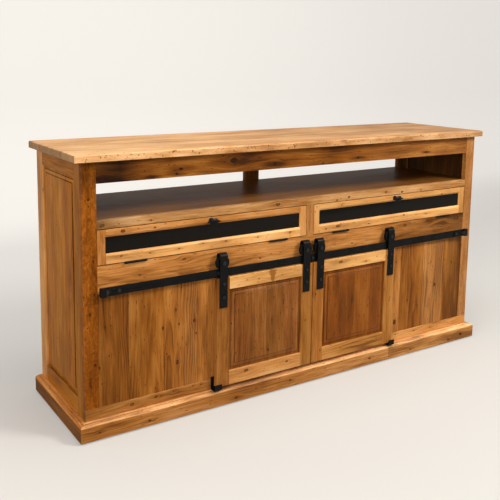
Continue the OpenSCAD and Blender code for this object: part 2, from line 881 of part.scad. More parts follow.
// A hanger strap runs up the door, over the roller and down behind it
module hanger_outline() {
    y0 = strap_front_y;
    y1 = roller_y + band_out;
    translate([y0, strap_z0]) square([strap_t, band_z - strap_z0]);
    translate([y1 - strap_t, axle_z - leg_past]) square([strap_t, band_z - axle_z + leg_past]);
    intersection() {
        translate([y0, band_z]) square([2 * band_out, band_out]);
        difference() {
            translate([roller_y, band_z]) circle(band_out);
            translate([roller_y, band_z]) circle(band_out - strap_t);
        }
    }
}

module hanger(x) {
    y0 = strap_front_y;
    y1 = roller_y + band_out;
    difference() {
        along_x(x - strap_w / 2, x + strap_w / 2) hanger_outline();
        rod_y(x, y0 - 1, y1 + 1, axle_z, axle_dia / 2 + run);
        for (z = bolt_z) rod_y(x, y0 - 1, y0 + strap_t + 1, z, bolt_hole_r);
    }
}

module hangers() {
    for (x = [inner_x, outer_x]) hanger(x);
}

module hanger_bolts() {
    y0 = strap_front_y;
    y1 = roller_y + band_out;
    for (x = [inner_x, outer_x]) {
        hex_head(x, y0, axle_z, axle_head, head_t);
        rod_y(x, y0, y1, axle_z, axle_dia / 2);
        rod_y(x, y1, y1 + 1, axle_z, axle_dia / 2 + washer);
        for (z = bolt_z) {
            hex_head(x, y0, z, strap_head, head_t);
            rod_y(x, y0, door_y1 - 3, z, bolt_dia / 2);
        }
    }
}

// Half the outline of a grooved roller, as [radius, distance from the middle plane]
function roller_side(s) = let (
    half = roller_w / 2,
    groove = track_t / 2 + 1,
    rim = roller_dia / 2,
    floor_r = groove_dia / 2,
    bore_r = axle_dia / 2 + run,
    hub_r = axle_dia / 2 + 4) [
        [floor_r, s * groove], [rim, s * (groove + 1)], [rim, s * (half - 0.8)], [rim - 0.8, s * half],
        [floor_r - 3, s * half], [floor_r - 4, s * (half - 1.5)], [hub_r + 0.5, s * (half - 1.5)],
        [hub_r, s * (hanger_gap / 2 - fit)], [bore_r, s * (hanger_gap / 2 - fit)]];

module roller(x) {
    upper = roller_side(1);
    lower = roller_side(-1);
    last = len(lower) - 1;
    translate([x, roller_y, axle_z]) rotate([-90, 0, 0]) rotate_extrude($fn = 72)
        polygon(concat(upper, [for (i = [last:-1:0]) lower[i]]));
}

// Flaps, drawn on the right-hand side
module flap_frame() {
    o = pane_open;
    y1 = y_face + frame_t;
    glass_y = y_face + glass_front;
    bead_y = glass_y + glass_t + 2 * fit;
    parts = [
        [flap_x0, o[0], flap_z0, flap_z1],
        [o[1], flap_x1, flap_z0, flap_z1],
        [o[0] + joint, o[1] - joint, flap_z0, o[2]],
        [o[0] + joint, o[1] - joint, o[3], flap_z1]];
    for (p = parts) difference() {
        block([p[0], y_face, p[2]], [p[1], y1, p[3]]);
        bevelled_opening(flap_open, y_face, frame_t);
        block([o[0] - rebate_w, glass_y, o[2] - rebate_w], [o[1] + rebate_w, y1 + 1, o[3] + rebate_w]);
    }
    for (z = [o[2] - rebate_w + joint, o[3]])
        block([o[0] - rebate_w + joint, bead_y, z], [o[1] + rebate_w - joint, y1, z + rebate_w - joint]);
    for (x = [o[0] - rebate_w + joint, o[1]])
        block([x, bead_y, o[2] + joint], [x + rebate_w - joint, y1, o[3] - joint]);
}

module flap_glass() {
    o = pane_open;
    in = rebate_w - fit;
    glass_y = y_face + glass_front + fit;
    block([o[0] - in, glass_y, o[2] - in], [o[1] + in, glass_y + glass_t, o[3] + in]);
}

// A forged iron knob: a round foot and neck, and a six-sided head that runs out to a ball at each end
module knob() {
    z = flap_z1 - knob_drop;
    foot = 4;
    foot_r = 10;
    neck_r = 6;
    ball_r = 3;
    w = knob_w / 2;
    h = knob_h / 2;
    neck = knob_reach - 8;
    tip = w - ball_r;
    ridge = 0.42 * w;
    translate([flap_mid_x, y_face, z]) rotate([90, 0, 0]) {
        cylinder(r1 = foot_r, r2 = foot_r - 2, h = foot, $fn = 24);
        translate([0, 0, foot]) cylinder(r1 = neck_r, r2 = neck_r + 1, h = neck - foot - 2, $fn = 24);
        hull() {
            translate([0, 0, neck - 3]) scale([1.2, 0.75, 1]) cylinder(r = 8, h = 1, $fn = 16);
            translate([0, 0, neck + 2]) linear_extrude(1.5)
                polygon([[-tip, 0], [-ridge, -h], [ridge, -h], [tip, 0], [ridge, h], [-ridge, h]]);
            translate([0, 0, knob_reach - 1]) linear_extrude(1)
                polygon([[-ridge, 0], [0, -h / 2], [ridge, 0], [0, h / 2]]);
        }
        for (s = [-1, 1]) translate([s * tip, 0, neck + 2.75]) sphere(ball_r, $fn = 24);
    }
}

// The flap's hinge leaves, the catch's strike plate and the pivot of the stay
module flap_fittings() {
    y1 = y_face + frame_t;
    stay_y = hinge_y + stay_dy;
    stay_z = hinge_z + stay_dz;
    eye = eye_half + fit;
    plate_x = stay_x - rod_dia / 2 - fit;
    half = 6;
    t = stay_plate_t;
    for (x = hinge_x) hinge_leaf(x, true);
    block([flap_mid_x - strike_l / 2, y1, flap_z1 - flap_gap_top - strike_h],
        [flap_mid_x + strike_l / 2, y1 + strike_t, flap_z1 - flap_gap_top]);
    block([plate_x - 3 * half, y1, stay_z - half], [plate_x, y1 + t, stay_z + half]);
    block([plate_x - t, y1, stay_z - half], [plate_x, stay_y, stay_z + half]);
    rod_x(plate_x - t, plate_x, stay_y, stay_z, half);
    rod_x(plate_x, stay_x - eye, stay_y, stay_z, stay_pin_r + washer);
    rod_x(stay_x - eye, stay_x + eye, stay_y, stay_z, stay_pin_r);
    rod_x(stay_x + eye, stay_x + eye + 1, stay_y, stay_z, stay_pin_r + washer);
}

// Stay: the rod hangs on the flap and slides through a keeper that turns on the cabinet
module stay_rod() {
    eye_r = 5;
    rod_r = rod_dia / 2;
    translate([stay_x, hinge_y + stay_dy, hinge_z + stay_dz]) rotate([-rod_slope, 0, 0]) {
        difference() {
            union() {
                rod_x(-eye_half, eye_half, 0, 0, eye_r);
                rod_y(0, eye_r - 1.5, rod_reach, 0, rod_r);
            }
            rod_x(-rod_dia, rod_dia, 0, 0, stay_pin_r + run);
        }
        rod_y(0, rod_reach, rod_reach + 5, 0, rod_r + 2);
    }
}

module stay_keeper() {
    rod_r = rod_dia / 2;
    wide = rod_r + 2;
    slide = 0.08;
    translate([stay_x, hinge_y + keeper_dy, hinge_z + keeper_dz]) {
        difference() {
            rotate([-rod_slope, 0, 0])
                block([-wide, -keeper_half, -rod_r - keeper_wall], [wide, keeper_half, rod_r + keeper_wall]);
            rotate([-rod_slope, 0, 0]) rod_y(0, -2 * keeper_half, 2 * keeper_half, 0, rod_r + slide);
        }
        rod_x(wide, stile_x - stay_x + keeper_pin_in, 0, 0, keeper_pin_r);
    }
}

module stay_plates() {
    y = hinge_y + keeper_dy;
    z = hinge_z + keeper_dz;
    color(iron) both_sides() difference() {
        block([stile_x - stay_plate_t, y - stay_plate_l / 2, z - stay_plate_h / 2],
            [stile_x, y + stay_plate_l / 2, z + stay_plate_h / 2]);
        rod_x(stile_x - stay_plate_t - 1, stile_x + 1, y, z, keeper_pin_r + run);
    }
}

top_board();
side_frames();
side_panels();
face_stiles();
apron_rail();
mullion();
track_rail();
bottom_rail();
inner_stiles();
fixed_panels();
open_shelf();
shelf_nosing();
media_deck();
media_divider();
packing_blocks();
bottom_board();
divider_frames();
centre_shelf();
shelf_pins();
back_panel();
rear_frame();
base_front_moulding();
base_side_mouldings();
glides();
track_bar();
track_spacers();
fixing_bolts();
end_stops();
stop_bumpers();
door_guides();
catches();
stay_plates();
fixed_hinge_leaves();
hinge_pins();
on_side(-1) color(honey) door_frame();  // left_door_frame
on_side(-1) color(brown_honey) door_panel();  // left_door_panel
on_side(-1) color(iron) hangers();  // left_hangers
on_side(-1) color(iron) hanger_bolts();  // left_hanger_bolts
on_side(-1) color(iron) roller(outer_x);  // left_outer_roller
on_side(-1) color(iron) roller(inner_x);  // left_inner_roller
on_side(1) color(honey) door_frame();  // right_door_frame
on_side(1) color(brown_honey) door_panel();  // right_door_panel
on_side(1) color(iron) hangers();  // right_hangers
on_side(1) color(iron) hanger_bolts();  // right_hanger_bolts
on_side(1) color(iron) roller(outer_x);  // right_outer_roller
on_side(1) color(iron) roller(inner_x);  // right_inner_roller
on_side(-1) color(honey) flap_frame();  // left_flap_frame
on_side(-1) color(glass_tint) flap_glass();  // left_flap_glass
on_side(-1) color(iron) knob();  // left_flap_knob
on_side(-1) color(iron) flap_fittings();  // left_flap_fittings
on_side(-1) color(iron) stay_rod();  // left_stay_rod
on_side(-1) color(iron) stay_keeper();  // left_stay_keeper
on_side(1) color(honey) flap_frame();  // right_flap_frame
on_side(1) color(glass_tint) flap_glass();  // right_flap_glass
on_side(1) color(iron) knob();  // right_flap_knob
on_side(1) color(iron) flap_fittings();  // right_flap_fittings
on_side(1) color(iron) stay_rod();  // right_stay_rod
on_side(1) color(iron) stay_keeper();  // right_stay_keeper
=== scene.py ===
import json
import math
import random

import bmesh
import bpy
from mathutils import Matrix, Vector

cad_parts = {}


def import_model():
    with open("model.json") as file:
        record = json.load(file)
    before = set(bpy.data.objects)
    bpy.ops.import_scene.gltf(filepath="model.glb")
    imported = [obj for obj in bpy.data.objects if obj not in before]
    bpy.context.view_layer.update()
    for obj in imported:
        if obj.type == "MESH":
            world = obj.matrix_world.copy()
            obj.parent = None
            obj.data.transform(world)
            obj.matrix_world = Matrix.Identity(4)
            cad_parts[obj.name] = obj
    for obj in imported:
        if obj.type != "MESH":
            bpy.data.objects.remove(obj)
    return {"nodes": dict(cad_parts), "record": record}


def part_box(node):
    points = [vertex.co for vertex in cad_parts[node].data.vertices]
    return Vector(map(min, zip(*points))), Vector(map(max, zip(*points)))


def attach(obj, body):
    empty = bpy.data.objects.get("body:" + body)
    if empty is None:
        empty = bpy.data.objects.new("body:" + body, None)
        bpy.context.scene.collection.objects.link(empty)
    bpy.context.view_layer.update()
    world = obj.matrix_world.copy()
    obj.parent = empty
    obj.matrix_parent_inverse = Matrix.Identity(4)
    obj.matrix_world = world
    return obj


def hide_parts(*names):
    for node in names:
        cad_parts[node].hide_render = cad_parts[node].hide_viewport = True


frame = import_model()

MM = 0.001
random.seed(1829)

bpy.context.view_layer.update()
nodes = frame["nodes"]
body_of = {node: body for body, names in frame["record"]["behaviour"]["bodies"].items() for node in names}
slot_of = {part["node"]: part["material_slot"] for part in frame["record"]["subparts"]}


# Materials: small helpers

def linear(hex_colour):
    """An sRGB hex colour as the linear colour that a node takes."""
    channels = [int(hex_colour[i:i + 2], 16) / 255 for i in (1, 3, 5)]
    return [c / 12.92 if c <= 0.04045 else ((c + 0.055) / 1.055) ** 2.4 for c in channels] + [1.0]


def add(tree, kind, inputs=None, **settings):
    """Adds a node with its settings. Each input takes a value, a node's first output or an output. In
    MapRange, 1 and 2 are the range that it reads, and 3 and 4 the range that it gives, from 0 to 1 if they
    aren't set. In Mix, 2 and 3 are the numbers that it mixes, 4 and 5 the vectors, 6 and 7 the colours."""
    node = tree.nodes.new("ShaderNode" + kind)
    for key, value in settings.items():
        setattr(node, key, value)
    for key, value in (inputs or {}).items():
        if isinstance(value, bpy.types.Node):
            value = value.outputs[0]
        if isinstance(value, bpy.types.NodeSocket):
            tree.links.new(value, node.inputs[key])
        else:
            node.inputs[key].default_value = value
    return node


def material(name):
    """A new material with a bare Principled shader, as (material, tree, shader)."""
    mat = bpy.data.materials.new(name)
    mat.use_nodes = True
    tree = mat.node_tree
    return mat, tree, tree.nodes["Principled BSDF"]


# Pine from old beams, sawn flat, sanded, stained and lacquered with a satin sheen. The eye gets soft streaks
# of pale and dark along each board, faint arched rings, knots that the grain flows round, and nail and worm
# holes

def repeats(long, wide):
    """How often a pattern repeats in a metre along the grain and across it, from its size in millimetres."""
    return (1000 / long, 1000 / wide, 1000 / wide)


# Resin streaks are about 20 mm wide. Real fibres are under 1 mm wide, and are drawn at 4 mm to show at all
STREAKS = repeats(300, 21)
FIBRES = repeats(85, 4)
# Sapwood, heartwood and old stains change the tone slowly across a board
CLOUDS = repeats(300, 80)
# Short dark ticks of resin
TICKS = repeats(24, 4)
# Short wavy figure of a burr, and how far its lines curl
BURR = repeats(26, 15)
CURL = 2.2
# Dents and pits of an edge that was once a beam's face
PITS = repeats(6, 3)
# Real rings lie 3 mm apart, and are drawn at 10 mm, because finer ones wouldn't show. The pith that they lie
# round wanders slowly along a board
RING = 10 * MM
WANDER = 15 * MM
WANDER_LONG = repeats(380, 90)
# One worm or nail hole in each cell of this width, which is longer along the grain. Most are left out
HOLE_PITCH = 62 * MM
HOLE_R = 1.7 * MM
HOLES = (1 / (1.6 * HOLE_PITCH), 1 / HOLE_PITCH, 1 / HOLE_PITCH)
HOLES_LEFT_OUT = 0.66

# Nearly all of a noise lies between these two values
NOISE_LOW = 0.25
NOISE_HIGH = 0.75
# How much each layer counts in the depth of the stain
STREAK_SHARE = 0.6
FIBRE_SHARE = 0.8
CLOUD_SHARE = 1.3
TICK_DEPTH = 0.6
# Each ring grows from pale early wood to late wood, and ends sharply. Rings show in the dark clouds only
EARLY_WOOD = (0.05, 0.05, 0.05, 1)
MIDDLE_WOOD = (0.3, 0.3, 0.3, 1)
LATE_WOOD = (1, 1, 1, 1)
RING_MEAN = 0.35
RINGS_FROM = 0.42
RINGS_FULL = 0.6

# Places for knots on one board. A knot is an oval along the grain with a smoky tail. A spike knot lies across
# the grain as a wedge, whose width changes by this share in a metre
KNOTS = 8
KNOT_OVAL = (0.6, 1.0, 0.0)
KNOT_TAIL = (0.2, 1.0, 0.0)
SPIKE_OVAL = (1.25, 0.55, 0.0)
WEDGE = 24.0
# A place that holds no knot, and a distance from a knot that counts as none, in its radii
NO_KNOT = (900.0, 0.0, 1 * MM)
FAR = 99.0
# A knot pulls the grain's lines in from this many radii away. Its pull and its smoke are full at its middle
PULL_REACH = 6.0
PULL = 0.85
MIDDLE = 0.6
# Knots have ragged outlines, whose edge lies between these two distances, and a core in a darker rim
RAGGED = repeats(14, 6)
RAGGED_BY = 0.36
KNOT_EDGE = (1.1, 0.8)
KNOT_CORE = (0.75, 0.3)
KNOT_STRENGTH = 0.95

# What changes the stain's value: sawn ends drink it, and worn edges are paler, partly from wear and partly as
# a painted highlight along them
SAWN_VALUE = -0.55
WORN_AND_LIT_VALUE = 0.22
# Pale boards are yellower and less rich
WARMTH_HUE = 0.0025
PALE_HUE = 0.014
PALE_RICHNESS = -0.14
# Worn faces are also less rich, which whitens the painted highlight on them
WORN_AND_LIT_RICHNESS = -0.05
# Hands polish the worn edges, and the deep stain is glossier than the pale
WORN_ROUGHNESS = -0.1
ROUGHNESS_BY = 0.06
GRAIN_RELIEF = 0.5 * MM


def pine(name, pale, stain, deep, rim="#26130a", core="#68391a", rough=0.38, figure=0.3, streaky=1.0,
         cloudy=1.0, burr=0.0, smoke=0.18, ticked=0.68, sheen=0.14):
    """Stained pine: pale sapwood, the stain's own colour and deep late wood, and the rim and core of knots.
    figure is how far its rings show, and streaky, cloudy and burr are how far those layers do. smoke is how
    dark the wood is round a knot, ticked is how rare its ticks are, and sheen is its lacquer's reflection."""
    mat, tree, shader = material(name)
    grain = add(tree, "Attribute", attribute_name="grain").outputs["Vector"]
    board = add(tree, "Attribute", attribute_name="board").outputs["Vector"]
    tone, warmth, end = add(tree, "SeparateXYZ", {0: board}).outputs
    worn = add(tree, "Attribute", attribute_name="worn").outputs["Fac"]
    along, across, inward = add(tree, "SeparateXYZ", {0: grain}).outputs

    # Knots pull the grain's lines towards their middle, so the rings bend round them
    bent = across
    nearest = FAR
    trail = FAR
    for i in range(KNOTS):
        spot = add(tree, "Attribute", attribute_name=f"knot_{i}").outputs["Vector"]
        size = add(tree, "SeparateXYZ", {0: spot}).outputs[2]
        radius = add(tree, "Math", {0: size}, operation="ABSOLUTE")
        away = add(tree, "VectorMath", {0: grain, 1: spot}, operation="SUBTRACT")
        aside = add(tree, "SeparateXYZ", {0: away}).outputs[1]
        oval = KNOT_OVAL
        if i == 0:
            # Only the first place may hold a spike knot
            spike = add(tree, "Math", {0: size, 1: 0.0}, operation="LESS_THAN")
            wedge = add(tree, "Math", {0: aside, 1: -WEDGE, 2: 1.0}, operation="MULTIPLY_ADD")
            wedge = add(tree, "CombineXYZ", {0: wedge, 1: 1.0, 2: 1.0})
            wedge = add(tree, "VectorMath", {0: wedge, 1: SPIKE_OVAL}, operation="MULTIPLY")
            oval = add(tree, "Mix", {0: spike, 4: KNOT_OVAL, 5: wedge}, data_type="VECTOR").outputs[1]
        radii = []
        for shape in (oval, KNOT_TAIL):
            shaped = add(tree, "VectorMath", {0: away, 1: shape}, operation="MULTIPLY")
            length = add(tree, "VectorMath", {0: shaped}, operation="LENGTH").outputs["Value"]
            radii.append(add(tree, "Math", {0: length, 1: radius}, operation="DIVIDE"))
        nearest = add(tree, "Math", {0: radii[0], 1: nearest}, operation="MINIMUM")
        trail = add(tree, "Math", {0: radii[1], 1: trail}, operation="MINIMUM")
        pull = add(tree, "MapRange", {0: radii[0], 1: PULL_REACH, 2: MIDDLE, 4: PULL},
                   interpolation_type="SMOOTHSTEP")
        shift = add(tree, "Math", {0: aside, 1: pull}, operation="MULTIPLY")
        bent = add(tree, "Math", {0: bent, 1: shift}, operation="SUBTRACT")

    # Rings: how far a point lies from the pith. The fibres wander half as far
    slow = add(tree, "VectorMath", {0: grain, 1: WANDER_LONG}, operation="MULTIPLY")
    slow = add(tree, "TexNoise", {"Vector": slow, "Scale": 1.0, "Detail": 2.0})
    wander = add(tree, "MapRange", {0: slow, 1: NOISE_LOW, 2: NOISE_HIGH, 3: -WANDER, 4: WANDER})
    sway = add(tree, "Math", {0: wander, 1: 0.5, 2: bent}, operation="MULTIPLY_ADD")
    flow = add(tree, "CombineXYZ", {0: along, 1: sway, 2: inward})
    reach = add(tree, "CombineXYZ", {0: 0.0, 1: bent, 2: inward})
    reach = add(tree, "VectorMath", {0: reach}, operation="LENGTH").outputs["Value"]
    reach = add(tree, "Math", {0: reach, 1: wander}, operation="ADD")
    turn = add(tree, "Math", {0: reach, 1: RING}, operation="DIVIDE")
    turn = add(tree, "Math", {0: turn}, operation="FRACT")
    late = add(tree, "ValToRGB", {0: turn})
    late.color_ramp.elements[0].color = EARLY_WOOD
    late.color_ramp.elements[1].color = EARLY_WOOD
    late.color_ramp.elements.new(0.45).color = MIDDLE_WOOD
    late.color_ramp.elements.new(0.85).color = LATE_WOOD

    # Layers of the figure: the place that each one follows, its size and its detail
    layers = {"streaks": (flow, STREAKS, 4.0), "fibres": (flow, FIBRES, 3.0), "clouds": (grain, CLOUDS, 2.0),
              "ticks": (flow, TICKS, 1.0), "ragged": (grain, RAGGED, 3.0), "pits": (grain, PITS, 2.0)}
    for layer, (place, size, detail) in layers.items():
        place = add(tree, "VectorMath", {0: place, 1: size}, operation="MULTIPLY")
        layers[layer] = add(tree, "TexNoise", {"Vector": place, "Scale": 1.0, "Detail": detail})

    # Depth of the stain, from 0 (pale) over 0.5 (its own colour) to 1 (deep)
    shares = {"streaks": STREAK_SHARE * streaky, "fibres": FIBRE_SHARE * streaky,
              "clouds": CLOUD_SHARE * cloudy}
    faint = add(tree, "MapRange", {0: layers["clouds"], 1: RINGS_FROM, 2: RINGS_FULL, 4: figure})
    rings = add(tree, "Math", {0: late.outputs["Color"], 1: RING_MEAN}, operation="SUBTRACT")
    depth = add(tree, "Math", {0: rings, 1: faint, 2: 0.5 - sum(shares.values()) / 2},
                operation="MULTIPLY_ADD")
    for layer, share in shares.items():
        depth = add(tree, "Math", {0: layers[layer], 1: share, 2: depth}, operation="MULTIPLY_ADD")
    if burr:
        curl = add(tree, "VectorMath", {0: flow, 1: BURR}, operation="MULTIPLY")
        curl = add(tree, "TexNoise", {"Vector": curl, "Scale": 1.0, "Detail": 4.0, "Distortion": CURL})
        curl = add(tree, "Math", {0: curl, 1: 0.5}, operation="SUBTRACT")
        depth = add(tree, "Math", {0: curl, 1: burr, 2: depth}, operation="MULTIPLY_ADD")
    halo = add(tree, "MapRange", {0: trail, 1: 2.0 + 2.5 * smoke, 2: MIDDLE, 4: smoke},
               interpolation_type="SMOOTHSTEP")
    depth = add(tree, "Math", {0: depth, 1: halo}, operation="ADD")
    ticks = add(tree, "MapRange", {0: layers["ticks"], 1: ticked, 2: ticked + 0.08, 4: TICK_DEPTH})
    depth = add(tree, "Math", {0: depth, 1: ticks}, operation="ADD", use_clamp=True)
    shades = add(tree, "ValToRGB", {0: depth})
    shades.color_ramp.elements[0].color = linear(pale)
    shades.color_ramp.elements[1].color = linear(deep)
    shades.color_ramp.elements.new(0.5).color = linear(stain)

    # The board's tone, which carries its drift and its faces' painted light and shade, shows more in its
    # streaks than between them
    uneven = add(tree, "Math", {0: layers["streaks"], 1: 1.2, 2: 0.4}, operation="MULTIPLY_ADD")
    value = add(tree, "Math", {0: tone, 1: uneven, 2: 1.0}, operation="MULTIPLY_ADD")
    value = add(tree, "Math", {0: end, 1: SAWN_VALUE, 2: value}, operation="MULTIPLY_ADD")
    # Worn faces are paler, as wear and partly as a painted highlight
    value = add(tree, "Math", {0: worn, 1: WORN_AND_LIT_VALUE, 2: value}, operation="MULTIPLY_ADD")
    paler = add(tree, "Math", {0: tone, 1: 0.0}, operation="MAXIMUM")
    hue = add(tree, "Math", {0: warmth, 1: WARMTH_HUE, 2: 0.5}, operation="MULTIPLY_ADD")
    hue = add(tree, "Math", {0: paler, 1: PALE_HUE, 2: hue}, operation="MULTIPLY_ADD")
    rich = add(tree, "Math", {0: paler, 1: PALE_RICHNESS, 2: 1.0}, operation="MULTIPLY_ADD")
    rich = add(tree, "Math", {0: worn, 1: WORN_AND_LIT_RICHNESS, 2: rich}, operation="MULTIPLY_ADD")
    colour = add(tree, "HueSaturation", {"Hue": hue, "Saturation": rich, "Value": value,
                                         "Color": shades.outputs["Color"]})

    # Knots have a dark ragged rim and a warmer core, and a spike knot is all core
    ragged = add(tree, "MapRange", {0: layers["ragged"], 1: NOISE_LOW, 2: NOISE_HIGH,
                                    3: -RAGGED_BY, 4: RAGGED_BY})
    rimmed = add(tree, "Math", {0: nearest, 1: ragged}, operation="ADD")
    knot = add(tree, "MapRange", {0: rimmed, 1: KNOT_EDGE[0], 2: KNOT_EDGE[1], 4: KNOT_STRENGTH},
               interpolation_type="SMOOTHSTEP")
    inner = add(tree, "MapRange", {0: rimmed, 1: KNOT_CORE[0], 2: KNOT_CORE[1]},
                interpolation_type="SMOOTHSTEP")
    inner = add(tree, "Math", {0: inner, 1: spike}, operation="MAXIMUM")
    knot_wood = add(tree, "Mix", {0: inner, 6: linear(rim), 7: linear(core)}, data_type="RGBA")
    colour = add(tree, "Mix", {0: knot, 6: colour, 7: knot_wood.outputs[2]}, data_type="RGBA")

    # Small holes everywhere, and pits along worn edges
    cells = add(tree, "VectorMath", {0: grain, 1: HOLES}, operation="MULTIPLY")
    cells = add(tree, "TexVoronoi", {"Vector": cells, "Scale": 1.0}, voronoi_dimensions="2D")
    drawn = add(tree, "SeparateColor", {0: cells.outputs["Color"]})
    drawn = add(tree, "Math", {0: drawn, 1: HOLES_LEFT_OUT}, operation="GREATER_THAN")
    hole = add(tree, "MapRange", {0: cells.outputs["Distance"], 1: 1.5 * HOLE_R / HOLE_PITCH,
                                  2: 0.7 * HOLE_R / HOLE_PITCH})
    hole = add(tree, "Math", {0: hole, 1: drawn}, operation="MULTIPLY")
    pits = add(tree, "MapRange", {0: layers["pits"], 1: 0.63, 2: 0.7})
    pitted = add(tree, "MapRange", {0: worn, 1: 0.6, 2: 1.0})
    hole = add(tree, "Math", {0: pits, 1: pitted, 2: hole}, operation="MULTIPLY_ADD", use_clamp=True)
    hole = add(tree, "Math", {0: hole, 1: 0.8}, operation="MULTIPLY")
    colour = add(tree, "Mix", {0: hole, 6: colour.outputs[2], 7: linear(rim)}, data_type="RGBA")

    gloss = add(tree, "MapRange", {0: depth, 3: rough + ROUGHNESS_BY, 4: rough - ROUGHNESS_BY})
    gloss = add(tree, "Math", {0: worn, 1: WORN_ROUGHNESS, 2: gloss}, operation="MULTIPLY_ADD")
    height = add(tree, "Math", {0: depth, 1: knot}, operation="SUBTRACT")
    height = add(tree, "Math", {0: height, 1: hole}, operation="SUBTRACT")
    bump = add(tree, "Bump", {"Height": height, "Strength": 0.3, "Distance": GRAIN_RELIEF})
    tree.links.new(colour.outputs[2], shader.inputs["Base Color"])
    tree.links.new(gloss.outputs[0], shader.inputs["Roughness"])
    tree.links.new(bump.outputs[0], shader.inputs["Normal"])
    shader.inputs["IOR"].default_value = 1.5
    shader.inputs["Specular IOR Level"].default_value = sheen
    return mat


top_pine = pine("lacquered_pine_top", "#eebc87", "#cf965a", "#a16831", rim="#3d2312", core="#7d4b22",
                figure=0.2, streaky=1.5, cloudy=1.2)
honey_pine = pine("honey_stained_pine", "#efc187", "#d89853", "#a0662e", rim="#4a2a14", core="#9a6229",
                  figure=0.12, streaky=0.8)
amber_pine = pine("amber_stained_pine", "#d08e48", "#b26f2c", "#7e4817", figure=0.2, streaky=1.4, cloudy=1.3)
flame_pine = pine("amber_stained_flame_pine", "#de9f5c", "#bc7b38", "#7e4917", rim="#3f200e",
                  core="#7d4a20", figure=0.35, streaky=1.4, cloudy=1.2)
side_pine = pine("amber_stained_pine_side", "#cf883c", "#b06c1f", "#82480f", figure=0.3, streaky=1.5,
                 sheen=0.05)
umber_pine = pine("umber_stained_pine", "#ca853c", "#99591b", "#6c3a10", figure=0.6, streaky=0.85,
                  cloudy=1.2)
smoked_pine = pine("smoke_stained_pine", "#b87a32", "#8e5216", "#4a280b", core="#33190c", figure=0.2,
                   cloudy=1.3, smoke=0.5)
panel_pine = pine("umber_stained_pine_panel", "#ac7139", "#89501d", "#5a320e", figure=0.05, streaky=1.2,
                  ticked=0.66)
warm_panel_pine = pine("amber_stained_pine_panel", "#b06c2c", "#8d4c14", "#5a2f0c", figure=0.05,
                       streaky=0.8, ticked=0.66)
base_pine = pine("brown_stained_pine_base", "#cf945a", "#af7234", "#7c4a20", figure=0.15, streaky=1.8,
                 cloudy=1.3, sheen=0.04)
burr_pine = pine("umber_stained_burr_pine", "#bd7024", "#8f4c12", "#5e2f0a", figure=0.05, streaky=0.6,
                 burr=1.2, sheen=0.06)
pale_burr_pine = pine("honey_stained_burr_pine", "#dba670", "#b87c3f", "#7a4b1f", figure=0.05, streaky=1.0,
                      burr=0.6)
# The faces inside the bay take this darker stain, which paints the shade there
shaded_lining_pine = pine("umber_stained_pine_lining_painted_shade", "#6e4520", "#4a2d14", "#2e1b0b", rough=0.5, sheen=0.06)
walnut_pine = pine("walnut_stained_pine", "#9c6a2f", "#7f4f21", "#4f3112", rim="#140d08", core="#2c1b10",
                   rough=0.42, figure=0.1, sheen=0.1)


# Mild steel, powder coated matt black: nearly black with a soft sheen and a fine orange-peel skin. Hands and
# doors have rubbed it in patches of about 40 mm

RUBBED_PATCH = 40 * MM


def powder_coat(name, colour, rough, peel, relief):
    """A black coat on steel or iron; peel is how wide the dimples of its skin are, and relief how deep."""
    mat, tree, shader = material(name)
    place = add(tree, "TexCoord").outputs["Object"]
    skin = add(tree, "TexNoise", {"Vector": place, "Scale": 1 / peel, "Detail": 2.0})
    rub = add(tree, "TexNoise", {"Vector": place, "Scale": 1 / RUBBED_PATCH, "Detail": 3.0})
    shade = add(tree, "MapRange", {0: rub, 1: 0.35, 2: 0.7, 3: 0.75, 4: 1.5})
    tint = add(tree, "HueSaturation", {"Value": shade, "Color": linear(colour)})
    gloss = add(tree, "MapRange", {0: rub, 1: 0.3, 2: 0.7, 3: rough + 0.07, 4: rough - 0.07})
    bump = add(tree, "Bump", {"Height": skin, "Strength": 0.3, "Distance": relief})
    tree.links.new(tint.outputs[0], shader.inputs["Base Color"])
    tree.links.new(gloss.outputs[0], shader.inputs["Roughness"])
    tree.links.new(bump.outputs[0], shader.inputs["Normal"])
    shader.inputs["IOR"].default_value = 1.5
    shader.inputs["Specular IOR Level"].default_value = 0.14
    return mat


black_steel = powder_coat("powder_coated_steel", "#0d0e0e", 0.45, 1.5 * MM, 0.05 * MM)
# Bolt heads have a glossier coat, and a lighter colour that is a painted highlight
lit_bolt_steel = powder_coat("coated_steel_painted_highlight", "#26282a", 0.3, 1.5 * MM, 0.05 * MM)
# Forged iron under black paint: dimples of the hammer, about 5 mm across, catch the light
black_iron = powder_coat("painted_forged_iron", "#0e0f10", 0.34, 5 * MM, 0.6 * MM)


# EPDM rubber: matt, near black, with faint dust in its grain

def rubber():
    mat, tree, shader = material("moulded_rubber")
    place = add(tree, "TexCoord").outputs["Object"]
    dust = add(tree, "TexNoise", {"Vector": place, "Scale": 1 / (6 * MM), "Detail": 4.0})
    tint = add(tree, "Mix", {0: dust, 6: linear("#101010"), 7: linear("#1e1e1e")}, data_type="RGBA")
    tree.links.new(tint.outputs[2], shader.inputs["Base Color"])
    shader.inputs["Roughness"].default_value = 0.8
    return mat


# Smoked float glass with a clear reflection and faint smears. It is drawn nearly black and lets little
# through, a painted shade for the dark cabinet behind it

def shaded_smoked_glass():
    mat, tree, shader = material("smoked_float_glass_painted_shade")
    place = add(tree, "TexCoord").outputs["Object"]
    smear = add(tree, "TexNoise", {"Vector": place, "Scale": 1 / (60 * MM), "Detail": 2.0})
    gloss = add(tree, "MapRange", {0: smear, 1: 0.3, 2: 0.7, 3: 0.05, 4: 0.12})
    tree.links.new(gloss.outputs[0], shader.inputs["Roughness"])
    shader.inputs["Base Color"].default_value = linear("#0f0b06")
    shader.inputs["IOR"].default_value = 1.52
    shader.inputs["Specular IOR Level"].default_value = 0.13
    shader.inputs["Transmission Weight"].default_value = 0.12
    return mat


moulded_rubber = rubber()
float_glass = shaded_smoked_glass()


